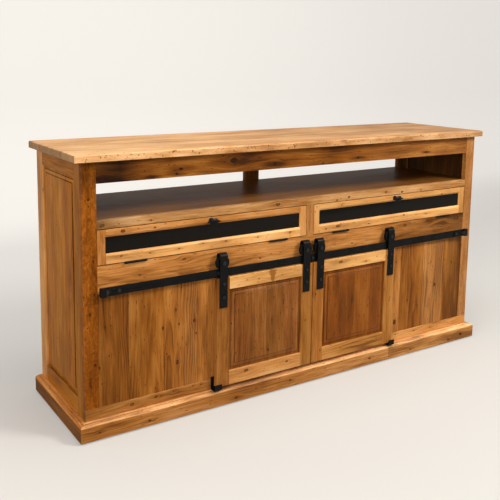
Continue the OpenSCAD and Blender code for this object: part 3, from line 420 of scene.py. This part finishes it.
# Boards: a copy of each wooden node with eased edges, whose faces know their board's own grain

AXES = {"X": 0, "Y": 1, "Z": 2}
# Corners closer than this are one, and faces that turn by less than this are one
SAME_POINT = 0.01 * MM
SAME_FACE = math.radians(0.5)
# Outer edges are sanded round, and an edge along a joint only loses its sharpness. Edges shorter than this
# stay sharp, and so do those whose faces are narrower than this many times what is taken off
EASE = 1.8 * MM
JOINT_EASE = 0.4 * MM
JOINT = 0.35 * MM
SHARP = math.radians(30)
SHORT = 8 * MM
NARROW = 2.6
# A raised panel's slopes lie across its rings, so its depth counts less than its width
FLATTEN = 0.35
# Through a raised panel, the normals of its slopes have less than the first value, and those of its sunken
# band less than the second. The band gets a painted highlight, and the flat border beside its grooves painted
# shade
SLOPE = 0.97
BAND = 0.9999
BAND_HIGHLIGHT = 0.12
BORDER_SHADE = -0.12
BORDER_DEPTH = 2 * MM
# A face looks a way if its normal has this much of it, and shows end grain with this much along the grain.
# Bevels that look up get at least this tone, a painted highlight
LOOKS = 0.3
END_GRAIN = 0.75
BEVEL_HIGHLIGHT = 0.15
EASED_WEAR = 0.5
# Boards are sawn from anywhere in this many metres of logs, with the pith up to this share of their width
# aside and this deep under them
LOGS = 60
PITH_ASIDE = 0.4
PITH_DEPTH = (20 * MM, 60 * MM)
# Knots that the photo doesn't show: the smallest radius, how much larger they get, and the largest as a share
# of the board's width
SMALL_KNOT = 1.2 * MM
KNOT_SPREAD = 4 * MM
LARGEST_KNOT = 0.16


def parts_of(bm):
    """The connected parts of a mesh, as lists of faces, ordered by their lowest corner."""
    left = set(bm.faces)
    parts = []
    while left:
        start = left.pop()
        part = [start]
        stack = [start]
        while stack:
            face = stack.pop()
            for edge in face.edges:
                for other in edge.link_faces:
                    if other in left:
                        left.remove(other)
                        part.append(other)
                        stack.append(other)
        parts.append(part)
    return sorted(parts, key=lambda part: tuple(round(min(v.co[i] for f in part for v in f.verts), 3)
                                                for i in (0, 2, 1)))


def corners(faces):
    """The lowest and highest corners of some faces."""
    points = [v.co for f in faces for v in f.verts]
    low = Vector([min(p[i] for p in points) for i in range(3)])
    high = Vector([max(p[i] for p in points) for i in range(3)])
    return low, high


def clean_copy(node):
    """A node's mesh without the triangles and doubles that it was packed with."""
    bm = bmesh.new()
    bm.from_mesh(nodes[node].data)
    bmesh.ops.remove_doubles(bm, verts=bm.verts, dist=SAME_POINT)
    bmesh.ops.dissolve_limit(bm, angle_limit=SAME_FACE, verts=bm.verts, edges=bm.edges)
    return bm


# The boxes of all boards, as (body, low corner, high corner)
boards = []
for node, slot in slot_of.items():
    if slot.endswith("_wood"):
        bm = clean_copy(node)
        boards += [(body_of[node], *corners(part)) for part in parts_of(bm)]
        bm.free()


def at_joint(point, own, body):
    """Whether another board of the same body lies against a point."""
    return any(b == body and (low, high) != own
               and all(low[i] - JOINT <= point[i] <= high[i] + JOINT for i in range(3))
               for b, low, high in boards)


def ease_edges(bm, body, ease):
    """Rounds the long outer edges, as sandpaper does, and marks their faces as eased."""
    for amount, joints in ((ease, False), (JOINT_EASE, True)):
        chosen = []
        for part in parts_of(bm):
            own = corners(part)
            for edge in {edge for face in part for edge in face.edges}:
                if len(edge.link_faces) < 2 or not edge.is_convex or edge.calc_face_angle(0) < SHARP:
                    continue
                if edge.calc_length() < SHORT:
                    continue
                if min(face.calc_area() for face in edge.link_faces) < NARROW * amount * edge.calc_length():
                    continue
                middle = (edge.verts[0].co + edge.verts[1].co) / 2
                if at_joint(middle, own, body) == joints:
                    chosen.append(edge)
        if chosen:
            made = bmesh.ops.bevel(bm, geom=chosen, offset=amount, offset_type="OFFSET", segments=2,
                                   profile=0.5, affect="EDGES", clamp_overlap=False)
            if not joints:
                for face in made["faces"]:
                    face[bm.faces.layers.int["eased"]] = 1


def cut(bm, place, axis):
    """Cuts all faces at a place along an axis, so that a tone can change there."""
    normal = Vector([1.0 if i == axis else 0.0 for i in range(3)])
    geometry = bm.verts[:] + bm.edges[:] + bm.faces[:]
    bmesh.ops.bisect_plane(bm, geom=geometry, plane_co=normal * place, plane_no=normal, dist=0.001 * MM)


def tone_at(stops, place):
    """The tone between the two stops that a place lies between."""
    for (a, tone_a), (b, tone_b) in zip(stops, stops[1:]):
        if place <= b * MM:
            share = min(1.0, max(0.0, (place - a * MM) / ((b - a) * MM)))
            return tone_a + (tone_b - tone_a) * share
    return stops[-1][1]


def relief_light_and_shade(face, thin, low, high, dark):
    """The painted light and shade of a face of a raised panel: painted shade on its slopes and on the flat
    border beside its grooves, and a painted highlight on its sunken band.
    """
    lean = abs(face.normal[thin])
    place = face.calc_center_median()[thin]
    if lean < SLOPE:
        return dark
    if lean < BAND:
        return BAND_HIGHLIGHT
    return BORDER_SHADE if min(place - low[thin], high[thin] - place) > BORDER_DEPTH else 0.0


def board_knots(node, low, high, long, across, per_m2):
    """The knots of one board: those that the photo shows, then a few more, as (along, across, radius)."""
    found = []
    for x, z, radius in SEEN_KNOTS.get(node, ()):
        spot = Vector((x * MM, low.y, z * MM))
        if low.x <= spot.x <= high.x and low.z <= spot.z <= high.z:
            found.append((spot[long], spot[across], radius * MM))
    size = high - low
    count = min(KNOTS - len(found), int(random.random() + size[long] * size[across] * per_m2))
    for _ in range(max(0, count)):
        radius = min(SMALL_KNOT + KNOT_SPREAD * random.random() ** 2, LARGEST_KNOT * size[across])
        found.append((random.uniform(low[long], high[long]),
                      random.uniform(low[across] + radius, high[across] - radius), radius))
    return found[:KNOTS]


def glue(bm, node, planks):
    """Cuts a node's boards into planks of about the given width, and gives their axis, start and width."""
    low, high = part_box(node)
    axis = AXES[planks[0]]
    count = round((high[axis] - low[axis]) / planks[1])
    width = (high[axis] - low[axis]) / count
    for i in range(1, count):
        cut(bm, low[axis] + width * i, axis)
    return axis, low[axis], width


def planks_in(part, axis, start, width):
    """The faces of each plank of a part, in order along an axis. Without a width the part is one plank."""
    planked = {}
    for face in part:
        place = face.calc_center_median()[axis] - start
        planked.setdefault(int(place / width) if width else 0, []).append(face)
    return [planked[key] for key in sorted(planked)]


def face_look(face, thin, own, eased, raised, bevel, rubbed_and_lit):
    """How worn a face is, and the painted light and shade that it adds to its board's tone."""
    wear = EASED_WEAR if eased else 0.0
    shade = relief_light_and_shade(face, thin, *own, raised) if raised else 0.0
    # A frame's bevels take its bevel tone: painted shade where it is negative and a painted highlight where
    # it is positive, and bevels that look up get a painted highlight
    if bevel and not eased and LOOKS < abs(face.normal[thin]) < SLOPE:
        shade = max(bevel, BEVEL_HIGHLIGHT) if face.normal.z > LOOKS else bevel
    # The worn side gets its wear and its tone; on the base mouldings that tone is a painted highlight
    if rubbed_and_lit and face.normal.dot(rubbed_and_lit[0]) > LOOKS:
        wear, shade = rubbed_and_lit[1:]
    return wear, shade


def dress(node, stains, along=None, planks=None, ease=EASE, tones=(0.0,), spread=0.04, shaded_lining=None,
          rubbed_and_lit=None, raised=0.0, bevel=0.0, per_m2=2.5, sawn=0.5):
    """Builds the boards of a wooden node. stains and tones go from board to board, in parts_of's order.
    along is the axis of the grain, or else it is each board's longest side. planks = (axis, width) is how a
    wide board is glued up. spread is how far a board's tone strays by chance. lining is the darker stain of
    the faces that look into the cabinet, a painted shade for the bay. rubbed is the side that hands and feet
    have worn, its wear and its tone, which on the base mouldings is a painted highlight. raised is the
    painted shade in a raised panel's grooves, and bevel the tone of a frame's bevels, a painted shade where
    it is negative and a painted highlight where it is positive. per_m2 is how many knots a square metre has,
    and sawn is how much stain the sawn ends drink."""
    stains = stains if isinstance(stains, tuple) else (stains,)
    bm = clean_copy(node)
    bm.faces.layers.int.new("eased")
    if ease:
        ease_edges(bm, body_of[node], ease)
    glued = glue(bm, node, planks) if planks else (0, 0.0, 0.0)
    drift_axis, stops, drifting = TONE_DRIFT_AND_PAINTED_LIGHT.get(node, ("X", (), ()))
    for place, _ in stops[1:-1]:
        cut(bm, place * MM, AXES[drift_axis])
    eased = bm.faces.layers.int["eased"]
    grain = bm.loops.layers.float_vector.new("grain")
    board = bm.loops.layers.float_vector.new("board")
    worn = bm.faces.layers.float.new("worn")
    knots = [bm.loops.layers.float_vector.new(f"knot_{i}") for i in range(KNOTS)]
    number = 0
    for part in parts_of(bm):
        own = corners(part)
        for faces in planks_in(part, *glued):
            low, high = corners(faces)
            size = high - low
            long = AXES[along] if along else max(range(3), key=lambda i: size[i])
            thin = min((i for i in range(3) if i != long), key=lambda i: size[i])
            across = 3 - long - thin
            mid = (low + high) / 2
            offset = random.uniform(0, LOGS)
            pith = random.uniform(-PITH_ASIDE, PITH_ASIDE) * size[across]
            deep = random.uniform(*PITH_DEPTH)
            tone = tones[number % len(tones)] + random.uniform(-spread, spread)
            warmth = random.uniform(-1, 1)
            spots = [(k[0] - mid[long] + offset, k[1] - mid[across] + pith, k[2])
                     for k in board_knots(node, low, high, long, across, per_m2)]
            spots += [NO_KNOT] * (KNOTS - len(spots))
            for face in faces:
                end = sawn if abs(face.normal[long]) > END_GRAIN else 0.0
                face.material_index = number % len(stains)
                # Faces that look into the cabinet take a darker stain, a painted shade for the bay
                if shaded_lining and face.normal.x * mid.x < -0.5 * abs(mid.x):
                    face.material_index = len(stains)
                face[worn], shade = face_look(face, thin, own, face[eased], raised, bevel, rubbed_and_lit)
                for loop in face.loops:
                    at = loop.vert.co - mid
                    # The board's tone gets its drift along the node, partly painted light and shade, and its
                    # face's painted light and shade
                    drift_and_light = tone_at(stops, loop.vert.co[AXES[drift_axis]]) if number in drifting else 0.0
                    loop[grain] = (at[long] + offset, at[across] + pith, FLATTEN * at[thin] + deep)
                    loop[board] = (tone + drift_and_light + shade, warmth, end)
                    for layer, spot in zip(knots, spots):
                        loop[layer] = spot
            number += 1
    mesh = bpy.data.meshes.new(node + "_boards")
    bm.to_mesh(mesh)
    bm.free()
    for stain in stains + ((shaded_lining,) if shaded_lining else ()):
        mesh.materials.append(stain)
    piece(mesh, node)


def piece(mesh, node):
    """Adds a mesh as the piece that stands for a node, smooth where it curves."""
    mesh.polygons.foreach_set("use_smooth", [True] * len(mesh.polygons))
    mesh.set_sharp_from_angle(angle=math.radians(33))
    obj = bpy.data.objects.new(node + "_boards", mesh)
    bpy.context.scene.collection.objects.link(obj)
    flat = obj.modifiers.new("Even normals", "WEIGHTED_NORMAL")
    flat.keep_sharp = True
    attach(obj, body_of[node])
    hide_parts(node)


# The knots and nail holes that the front shows, as (x, z, radius across the grain) in millimetres. A negative
# radius is a spike knot, which lies across the grain
SEEN_KNOTS = {
    "apron_rail": [(-339, 875, 9), (-544, 858, 5), (-559, 843, 3.5), (-649, 839, 3), (-166, 850, 5),
                   (225, 848, 4), (594, 850, 2.5), (-822, 842, 6)],
    "face_stiles": [(-866, 416, 4), (-852, 247, 3.5), (-853, 586, 3), (-866, 784, 3), (-868, 180, 3)],
    "shelf_nosing": [(-149, 701, 5), (-822, 698, 5), (-654, 698, 3), (126, 692, 3), (186, 698, 4),
                     (379, 701, 4), (467, 694, 4), (575, 693, 3)],
    "left_flap_frame": [(-759, 592, 3), (-658, 589, 2.5), (-551, 590, 2.5), (-459, 597, 2.5),
                        (-368, 593, 3), (-234, 591, 2.5), (-93, 593, 3), (-752, 673, 5), (-640, 672, 3)],
    "right_flap_frame": [(135, 590, 6), (294, 582, 2.5), (484, 597, 3), (77, 585, 3), (700, 664, 3),
                         (610, 590, 2.5), (150, 670, 2.5)],
    "track_rail": [(-532, 551, 4), (492, 554, 6), (626, 556, 5), (718, 535, 5), (797, 553, 9),
                   (209, 513, 3), (-224, 512, 3), (-694, 520, 3)],
    "fixed_panels": [(-837, 233, 3.5), (-816, 366, 2.5), (-610, 323, 4), (-556, 192, 4.5), (-562, 378, 3),
                     (-550, 326, 3), (-596, 229, 2.5), (-484, 281, 3), (-492, 329, 4), (686, 270, 5),
                     (783, 356, 3.5), (525, 228, 3), (658, 374, 2.5)],
    "inner_stiles": [(454, 146, 7), (451, 403, 3)],
    "left_door_frame": [(-184, 450, -15), (-244, 446, 2.5), (-115, 109, 4), (-294, 114, 5),
                        (-397, 393, 3), (-33, 253, 2.5)],
    "left_door_panel": [(-198, 171, 3.5), (-183, 280, 2.5), (-131, 347, 2.5)],
    "right_door_frame": [(14, 346, 3), (134, 455, 6), (262, 440, 3), (395, 258, 2.5), (43, 119, 2.5)],
    "right_door_panel": [(198, 291, 2.5), (142, 179, 2.5)],
    "bottom_rail": [(463, 90, 2.5), (570, 86, 2.5), (670, 83, 2), (-726, 82, 4.5), (-638, 88, 4),
                    (-572, 92, 2.5), (-496, 92, 2.5), (-464, 90, 2.5)],
    "base_front_moulding": [(833, 28, 6), (757, 18, 4), (300, 30, 4), (-335, 20, 4), (-674, 24, 3.5),
                            (-850, 30, 2.5), (-96, 30, 3), (527, 22, 3)],
}

# Where the tone changes along a node, as stains that drift and, where noted, as painted light and shade:
# axis, stops as (place in millimetres, tone), and the boards it is for
TONE_DRIFT_AND_PAINTED_LIGHT = {
    # The top is lighter to the left and darker to the right: painted light
    "top_board": ("X", [(-915, 0.08), (-300, 0.05), (500, -0.1), (915, -0.22)], range(4)),
    # The apron's dark left end is partly a dark stain and partly painted shade under the top
    "apron_rail": ("X", [(-840, -0.65), (-760, -0.85), (-680, -0.2), (100, -0.05), (350, 0.2),
                         (840, 0.34)], (0,)),
    # The left face stile darkens towards its top: painted shade under the top
    "face_stiles": ("Z", [(0, 0.0), (790, 0.0), (850, -0.45), (903, -0.5)], (0,)),
    "track_rail": ("X", [(-840, 0.04), (300, 0.1), (480, -0.22), (840, -0.56)], (0,)),
    # The bottom rail darkens towards the left: painted light falling off from the right
    "bottom_rail": ("X", [(-887, -0.36), (-450, -0.28), (450, 0.14), (887, 0.18)], (0,)),
    # The shelf is lighter to the left and darker to the right: a painted sheen and painted shade
    "open_shelf": ("X", [(-840, 0.15), (200, 0.12), (840, -0.35)], range(9)),
    "shelf_nosing": ("X", [(-840, -0.7), (-770, -0.38), (-700, -0.16), (840, -0.03)], (0,)),
    "fixed_panels": ("X", [(-840, -0.28), (-700, -0.22), (-600, 0.05), (-480, 0.38), (480, -0.1),
                           (605, 0.0), (612, 0.5), (730, 0.46), (738, -0.2), (840, -0.55)], range(6)),
    # The base's front moulding is lighter towards the right: painted light
    "base_front_moulding": ("X", [(-915, -0.05), (-300, 0.0), (400, 0.26), (402, 0.3), (915, 0.35)],
                            range(2)),
}

UP = Vector((0, 0, 1))
AHEAD = Vector((0, -1, 0))
# Face stiles and flap frames have had less sanding
LIGHT_EASE = 1.2 * MM
SHELF_PLANKS = ("Y", 110 * MM)

# Wooden nodes: stain, grain axis, glued planks and tones
dress("top_board", top_pine, "X", ("Y", 116 * MM), ease=0, rubbed_and_lit=(AHEAD, 1.0, -0.1), per_m2=1, sawn=1.0)
# The faces of the side frames and panels inside the bay take a darker stain, a painted shade, and the side
# frames' bevel tone is painted shade
dress("side_frames", (side_pine, side_pine, amber_pine, side_pine), tones=(-0.28, 0.0, 0.45, -0.1),
      shaded_lining=shaded_lining_pine, bevel=-0.1)
# The side panels' groove tone is painted shade
dress("side_panels", side_pine, "Z", ("Y", 105 * MM), shaded_lining=shaded_lining_pine, raised=-0.6)
dress("face_stiles", (burr_pine, pale_burr_pine), "Z", ease=LIGHT_EASE)
dress("apron_rail", smoked_pine, "X", per_m2=0)
dress("shelf_nosing", top_pine, "X")
dress("mullion", amber_pine, "Z", tones=(0.52,))
dress("track_rail", flame_pine, "X")
dress("bottom_rail", flame_pine, "X")
dress("inner_stiles", amber_pine, "Z", tones=(0.12,))
dress("fixed_panels", umber_pine, "Z", spread=0.01)
# The upper faces of the base front moulding get a painted highlight
dress("base_front_moulding", base_pine, "X", rubbed_and_lit=(UP, 0.9, 0.5))
# The side mouldings' tone of -0.6 is painted shade, and their upper faces get a painted highlight
dress("base_side_mouldings", side_pine, "Y", tones=(-0.6,), rubbed_and_lit=(UP, 0.9, 0.7), sawn=0.1)
# The door frames' bevel tone is painted shade
dress("left_door_frame", (amber_pine, honey_pine, honey_pine, amber_pine), tones=(-0.33, 0.0, 0.18, -0.18),
      bevel=-0.1)
dress("right_door_frame", (amber_pine, flame_pine, honey_pine, amber_pine),
      tones=(-0.12, 0.12, 0.28, -0.1), bevel=-0.1)
# The door panels' groove tone is painted shade
for node, stain, tone in (("left_door_panel", panel_pine, 0.08), ("right_door_panel", warm_panel_pine, 0.0)):
    dress(node, stain, "Z", ("X", 80 * MM), ease=0, tones=(tone,), raised=-0.4)
# The flap frames' bevel tone, here and below, is a painted highlight
dress("left_flap_frame", (flame_pine, *[honey_pine] * 4, flame_pine, honey_pine, honey_pine),
      ease=LIGHT_EASE, tones=(-0.14, 0.3, 0.2, -0.15, 0.3, 0.14, 0.0, -0.1), bevel=0.15)
dress("right_flap_frame", honey_pine, ease=LIGHT_EASE, tones=(0.05, 0.25, 0.2, 0.05, 0.26, 0.14, 0.1, 0.0),
      bevel=0.15)
for node in ("open_shelf", "media_deck", "bottom_board", "centre_shelf"):
    dress(node, walnut_pine, "X", SHELF_PLANKS)
for node in ("media_divider", "packing_blocks", "divider_frames", "rear_frame"):
    dress(node, walnut_pine)
dress("back_panel", walnut_pine, "X", ("Z", 130 * MM))


# Metal, rubber and glass keep their nodes. Steel edges are rounded by a file and the coat, by this many mm

STEEL_EDGES = {"track_bar": 0.5, "end_stops": 0.5, "door_guides": 0.4, "left_hangers": 0.5,
               "right_hangers": 0.5, "fixing_bolts": 0.5, "left_hanger_bolts": 0.5,
               "right_hanger_bolts": 0.5}
COATS = {"knob": black_iron, "bolts": lit_bolt_steel}


def finish_node(node, mat, edge=0.0):
    """Gives a node its finish, welds its faces and rounds its edges."""
    obj = nodes[node]
    obj.data.materials.clear()
    obj.data.materials.append(mat)
    weld = obj.modifiers.new("Weld", "WELD")
    weld.merge_threshold = SAME_POINT
    if edge:
        bevel = obj.modifiers.new("Rounded edges", "BEVEL")
        bevel.width = edge
        bevel.segments = 2
        bevel.limit_method = "ANGLE"
        bevel.angle_limit = math.radians(50)
    for polygon in obj.data.polygons:
        polygon.use_smooth = True
    smooth = obj.modifiers.new("Even normals", "WEIGHTED_NORMAL")
    smooth.keep_sharp = True


for node, slot in slot_of.items():
    if slot == "black_iron":
        coat = COATS.get(node.split("_")[-1], black_steel)
        finish_node(node, coat, STEEL_EDGES.get(node, 0.0) * MM)
    elif slot == "black_rubber":
        finish_node(node, moulded_rubber)
    elif slot == "flap_glass":
        finish_node(node, float_glass)


# The stage: a pale floor that bends up into a pale wall, in metres, and a world of the same colour

PALE = "#f4f1ec"
WALL_AT = 3.2
WALL_TOP = 2.6
BEND = 0.9
BEND_STEPS = 10
HALF_WIDTH = 14.0
FRONT = -14.0
# The paper's own glow, from the floor to the wall and to its far edge, where the lamps' light fades
FLOOR_GLOW = 0.26
WALL_GLOW = 0.6
EDGE_GLOW = 0.2
EDGE_FROM = 5.0
EDGE_TO = 13.0


def backdrop():
    """Pale paper. It throws less light back on the object than its colour would, as in a big dim studio."""
    profile = [(FRONT, 0.0), (WALL_AT - BEND, 0.0)]
    profile += [(WALL_AT - BEND + BEND * math.sin(a), BEND - BEND * math.cos(a))
                for a in [math.radians(90 / BEND_STEPS * i) for i in range(1, BEND_STEPS + 1)]]
    profile.append((WALL_AT, WALL_TOP))
    bm = bmesh.new()
    rows = [[bm.verts.new((x, y, z)) for y, z in profile] for x in (-HALF_WIDTH, HALF_WIDTH)]
    for i in range(len(profile) - 1):
        bm.faces.new((rows[0][i], rows[1][i], rows[1][i + 1], rows[0][i + 1]))
    mesh = bpy.data.meshes.new("studio_floor")
    bm.to_mesh(mesh)
    bm.free()
    mesh.polygons.foreach_set("use_smooth", [True] * len(mesh.polygons))
    mat, tree, shader = material("pale_paper_backdrop")
    # The camera sees the paper pale, gloss and glass see it half as pale, and it lights the object less
    path = add(tree, "LightPath")
    shiny = add(tree, "Math", {0: path.outputs["Is Glossy Ray"], 1: path.outputs["Is Transmission Ray"]},
                operation="MAXIMUM")
    shiny = add(tree, "Math", {0: shiny, 1: 0.5}, operation="MULTIPLY")
    seen = add(tree, "Math", {0: path.outputs["Is Camera Ray"], 1: shiny}, operation="MAXIMUM")
    paper = add(tree, "Mix", {0: seen, 6: linear("#7c756d"), 7: linear("#bcb9b4")}, data_type="RGBA")
    tree.links.new(paper.outputs[2], shader.inputs["Base Color"])
    shader.inputs["Roughness"].default_value = 0.9
    place = add(tree, "NewGeometry")
    x, y, z = add(tree, "SeparateXYZ", {0: place}).outputs
    reach = add(tree, "VectorMath", {0: place}, operation="LENGTH").outputs["Value"]
    # The glow grows up the wall, and round the object too, so that it has no horizon from any side
    ring = add(tree, "Math", {0: reach, 1: 0.13}, operation="MULTIPLY")
    far = add(tree, "Math", {0: y, 1: 0.3, 2: z}, operation="MULTIPLY_ADD")
    far = add(tree, "Math", {0: ring, 1: far}, operation="MAXIMUM")
    glow = add(tree, "MapRange", {0: far, 1: 0.1, 2: 0.9, 3: FLOOR_GLOW, 4: WALL_GLOW})
    edge = add(tree, "MapRange", {0: reach, 1: EDGE_FROM, 2: EDGE_TO, 4: EDGE_GLOW})
    glow = add(tree, "Math", {0: glow, 1: edge}, operation="ADD")
    glow = add(tree, "Math", {0: glow, 1: seen}, operation="MULTIPLY")
    shader.inputs["Emission Color"].default_value = linear(PALE)
    tree.links.new(glow.outputs[0], shader.inputs["Emission Strength"])
    mesh.materials.append(mat)
    obj = bpy.data.objects.new("studio_floor", mesh)
    bpy.context.scene.collection.objects.link(obj)


def world(colour, seen, reflected, ambient):
    """A pale sky, whose strength is given as the camera sees it, as gloss and glass show it, and as light."""
    sky = bpy.data.worlds.new("Studio")
    sky.use_nodes = True
    tree = sky.node_tree
    path = add(tree, "LightPath")
    shiny = add(tree, "Math", {0: path.outputs["Is Glossy Ray"], 1: path.outputs["Is Transmission Ray"]},
                operation="MAXIMUM")
    strength = add(tree, "MapRange", {0: shiny, 3: ambient, 4: reflected})
    strength = add(tree, "Mix", {0: path.outputs["Is Camera Ray"], 2: strength, 3: seen})
    shade = tree.nodes["Background"]
    shade.inputs["Color"].default_value = linear(colour)
    tree.links.new(strength.outputs[0], shade.inputs["Strength"])
    bpy.context.scene.world = sky


def softbox(name, place, aim, size, power, colour):
    """A soft lamp at a place, turned to what it aims at."""
    light = bpy.data.lights.new(name, "AREA")
    light.shape = "RECTANGLE"
    light.size = size[0]
    light.size_y = size[1]
    light.energy = power
    light.color = linear(colour)[:3]
    obj = bpy.data.objects.new(name, light)
    obj.location = place
    obj.rotation_euler = (Vector(aim) - Vector(place)).to_track_quat("-Z", "Y").to_euler()
    bpy.context.scene.collection.objects.link(obj)


backdrop()
world(PALE, seen=0.92, reflected=0.55, ambient=0.3)
softbox("Key", (2.2, -3.0, 3.4), (0, -0.2, 0.5), (1.2, 1.2), 150, "#fffaf3")
softbox("Fill", (-3.4, -2.2, 1.6), (0, 0, 0.5), (2.0, 2.0), 80, "#fffaf2")
softbox("Top", (-0.4, -0.4, 3.4), (0, 0, 0.9), (2.4, 1.6), 42, "#ffffff")


# The camera, at the place that the photo's lines give: millimetres, degrees and pixels of 500

CAMERA_AT = (-1686.5, -2364.6, 1223.6)
YAW = 33.18
PITCH = -8.15
ROLL = 0.81
FOCAL = 746.64
AXIS_ROW = 165
PHOTO = 500
SENSOR = 36.0


def camera():
    """The photo reaches further below the lens's axis than above it, so the lens is shifted."""
    yaw, pitch, roll = (math.radians(a) for a in (YAW, PITCH, ROLL))
    ahead = Vector((math.sin(yaw) * math.cos(pitch), math.cos(yaw) * math.cos(pitch), math.sin(pitch)))
    right = Vector((math.cos(yaw), -math.sin(yaw), 0))
    up = right.cross(ahead)
    right, up = (math.cos(roll) * right + math.sin(roll) * up, math.cos(roll) * up - math.sin(roll) * right)
    lens = bpy.data.cameras.new("Camera")
    lens.sensor_fit = "HORIZONTAL"
    lens.sensor_width = SENSOR
    lens.lens = FOCAL * SENSOR / PHOTO
    lens.shift_y = (AXIS_ROW - PHOTO / 2) / PHOTO
    obj = bpy.data.objects.new("Camera", lens)
    turn = Matrix((right, up, -ahead)).transposed().to_4x4()
    obj.matrix_world = Matrix.Translation(Vector(CAMERA_AT) * MM) @ turn
    bpy.context.scene.collection.objects.link(obj)
    bpy.context.scene.camera = obj


camera()
bpy.context.scene.view_settings.view_transform = "Standard"
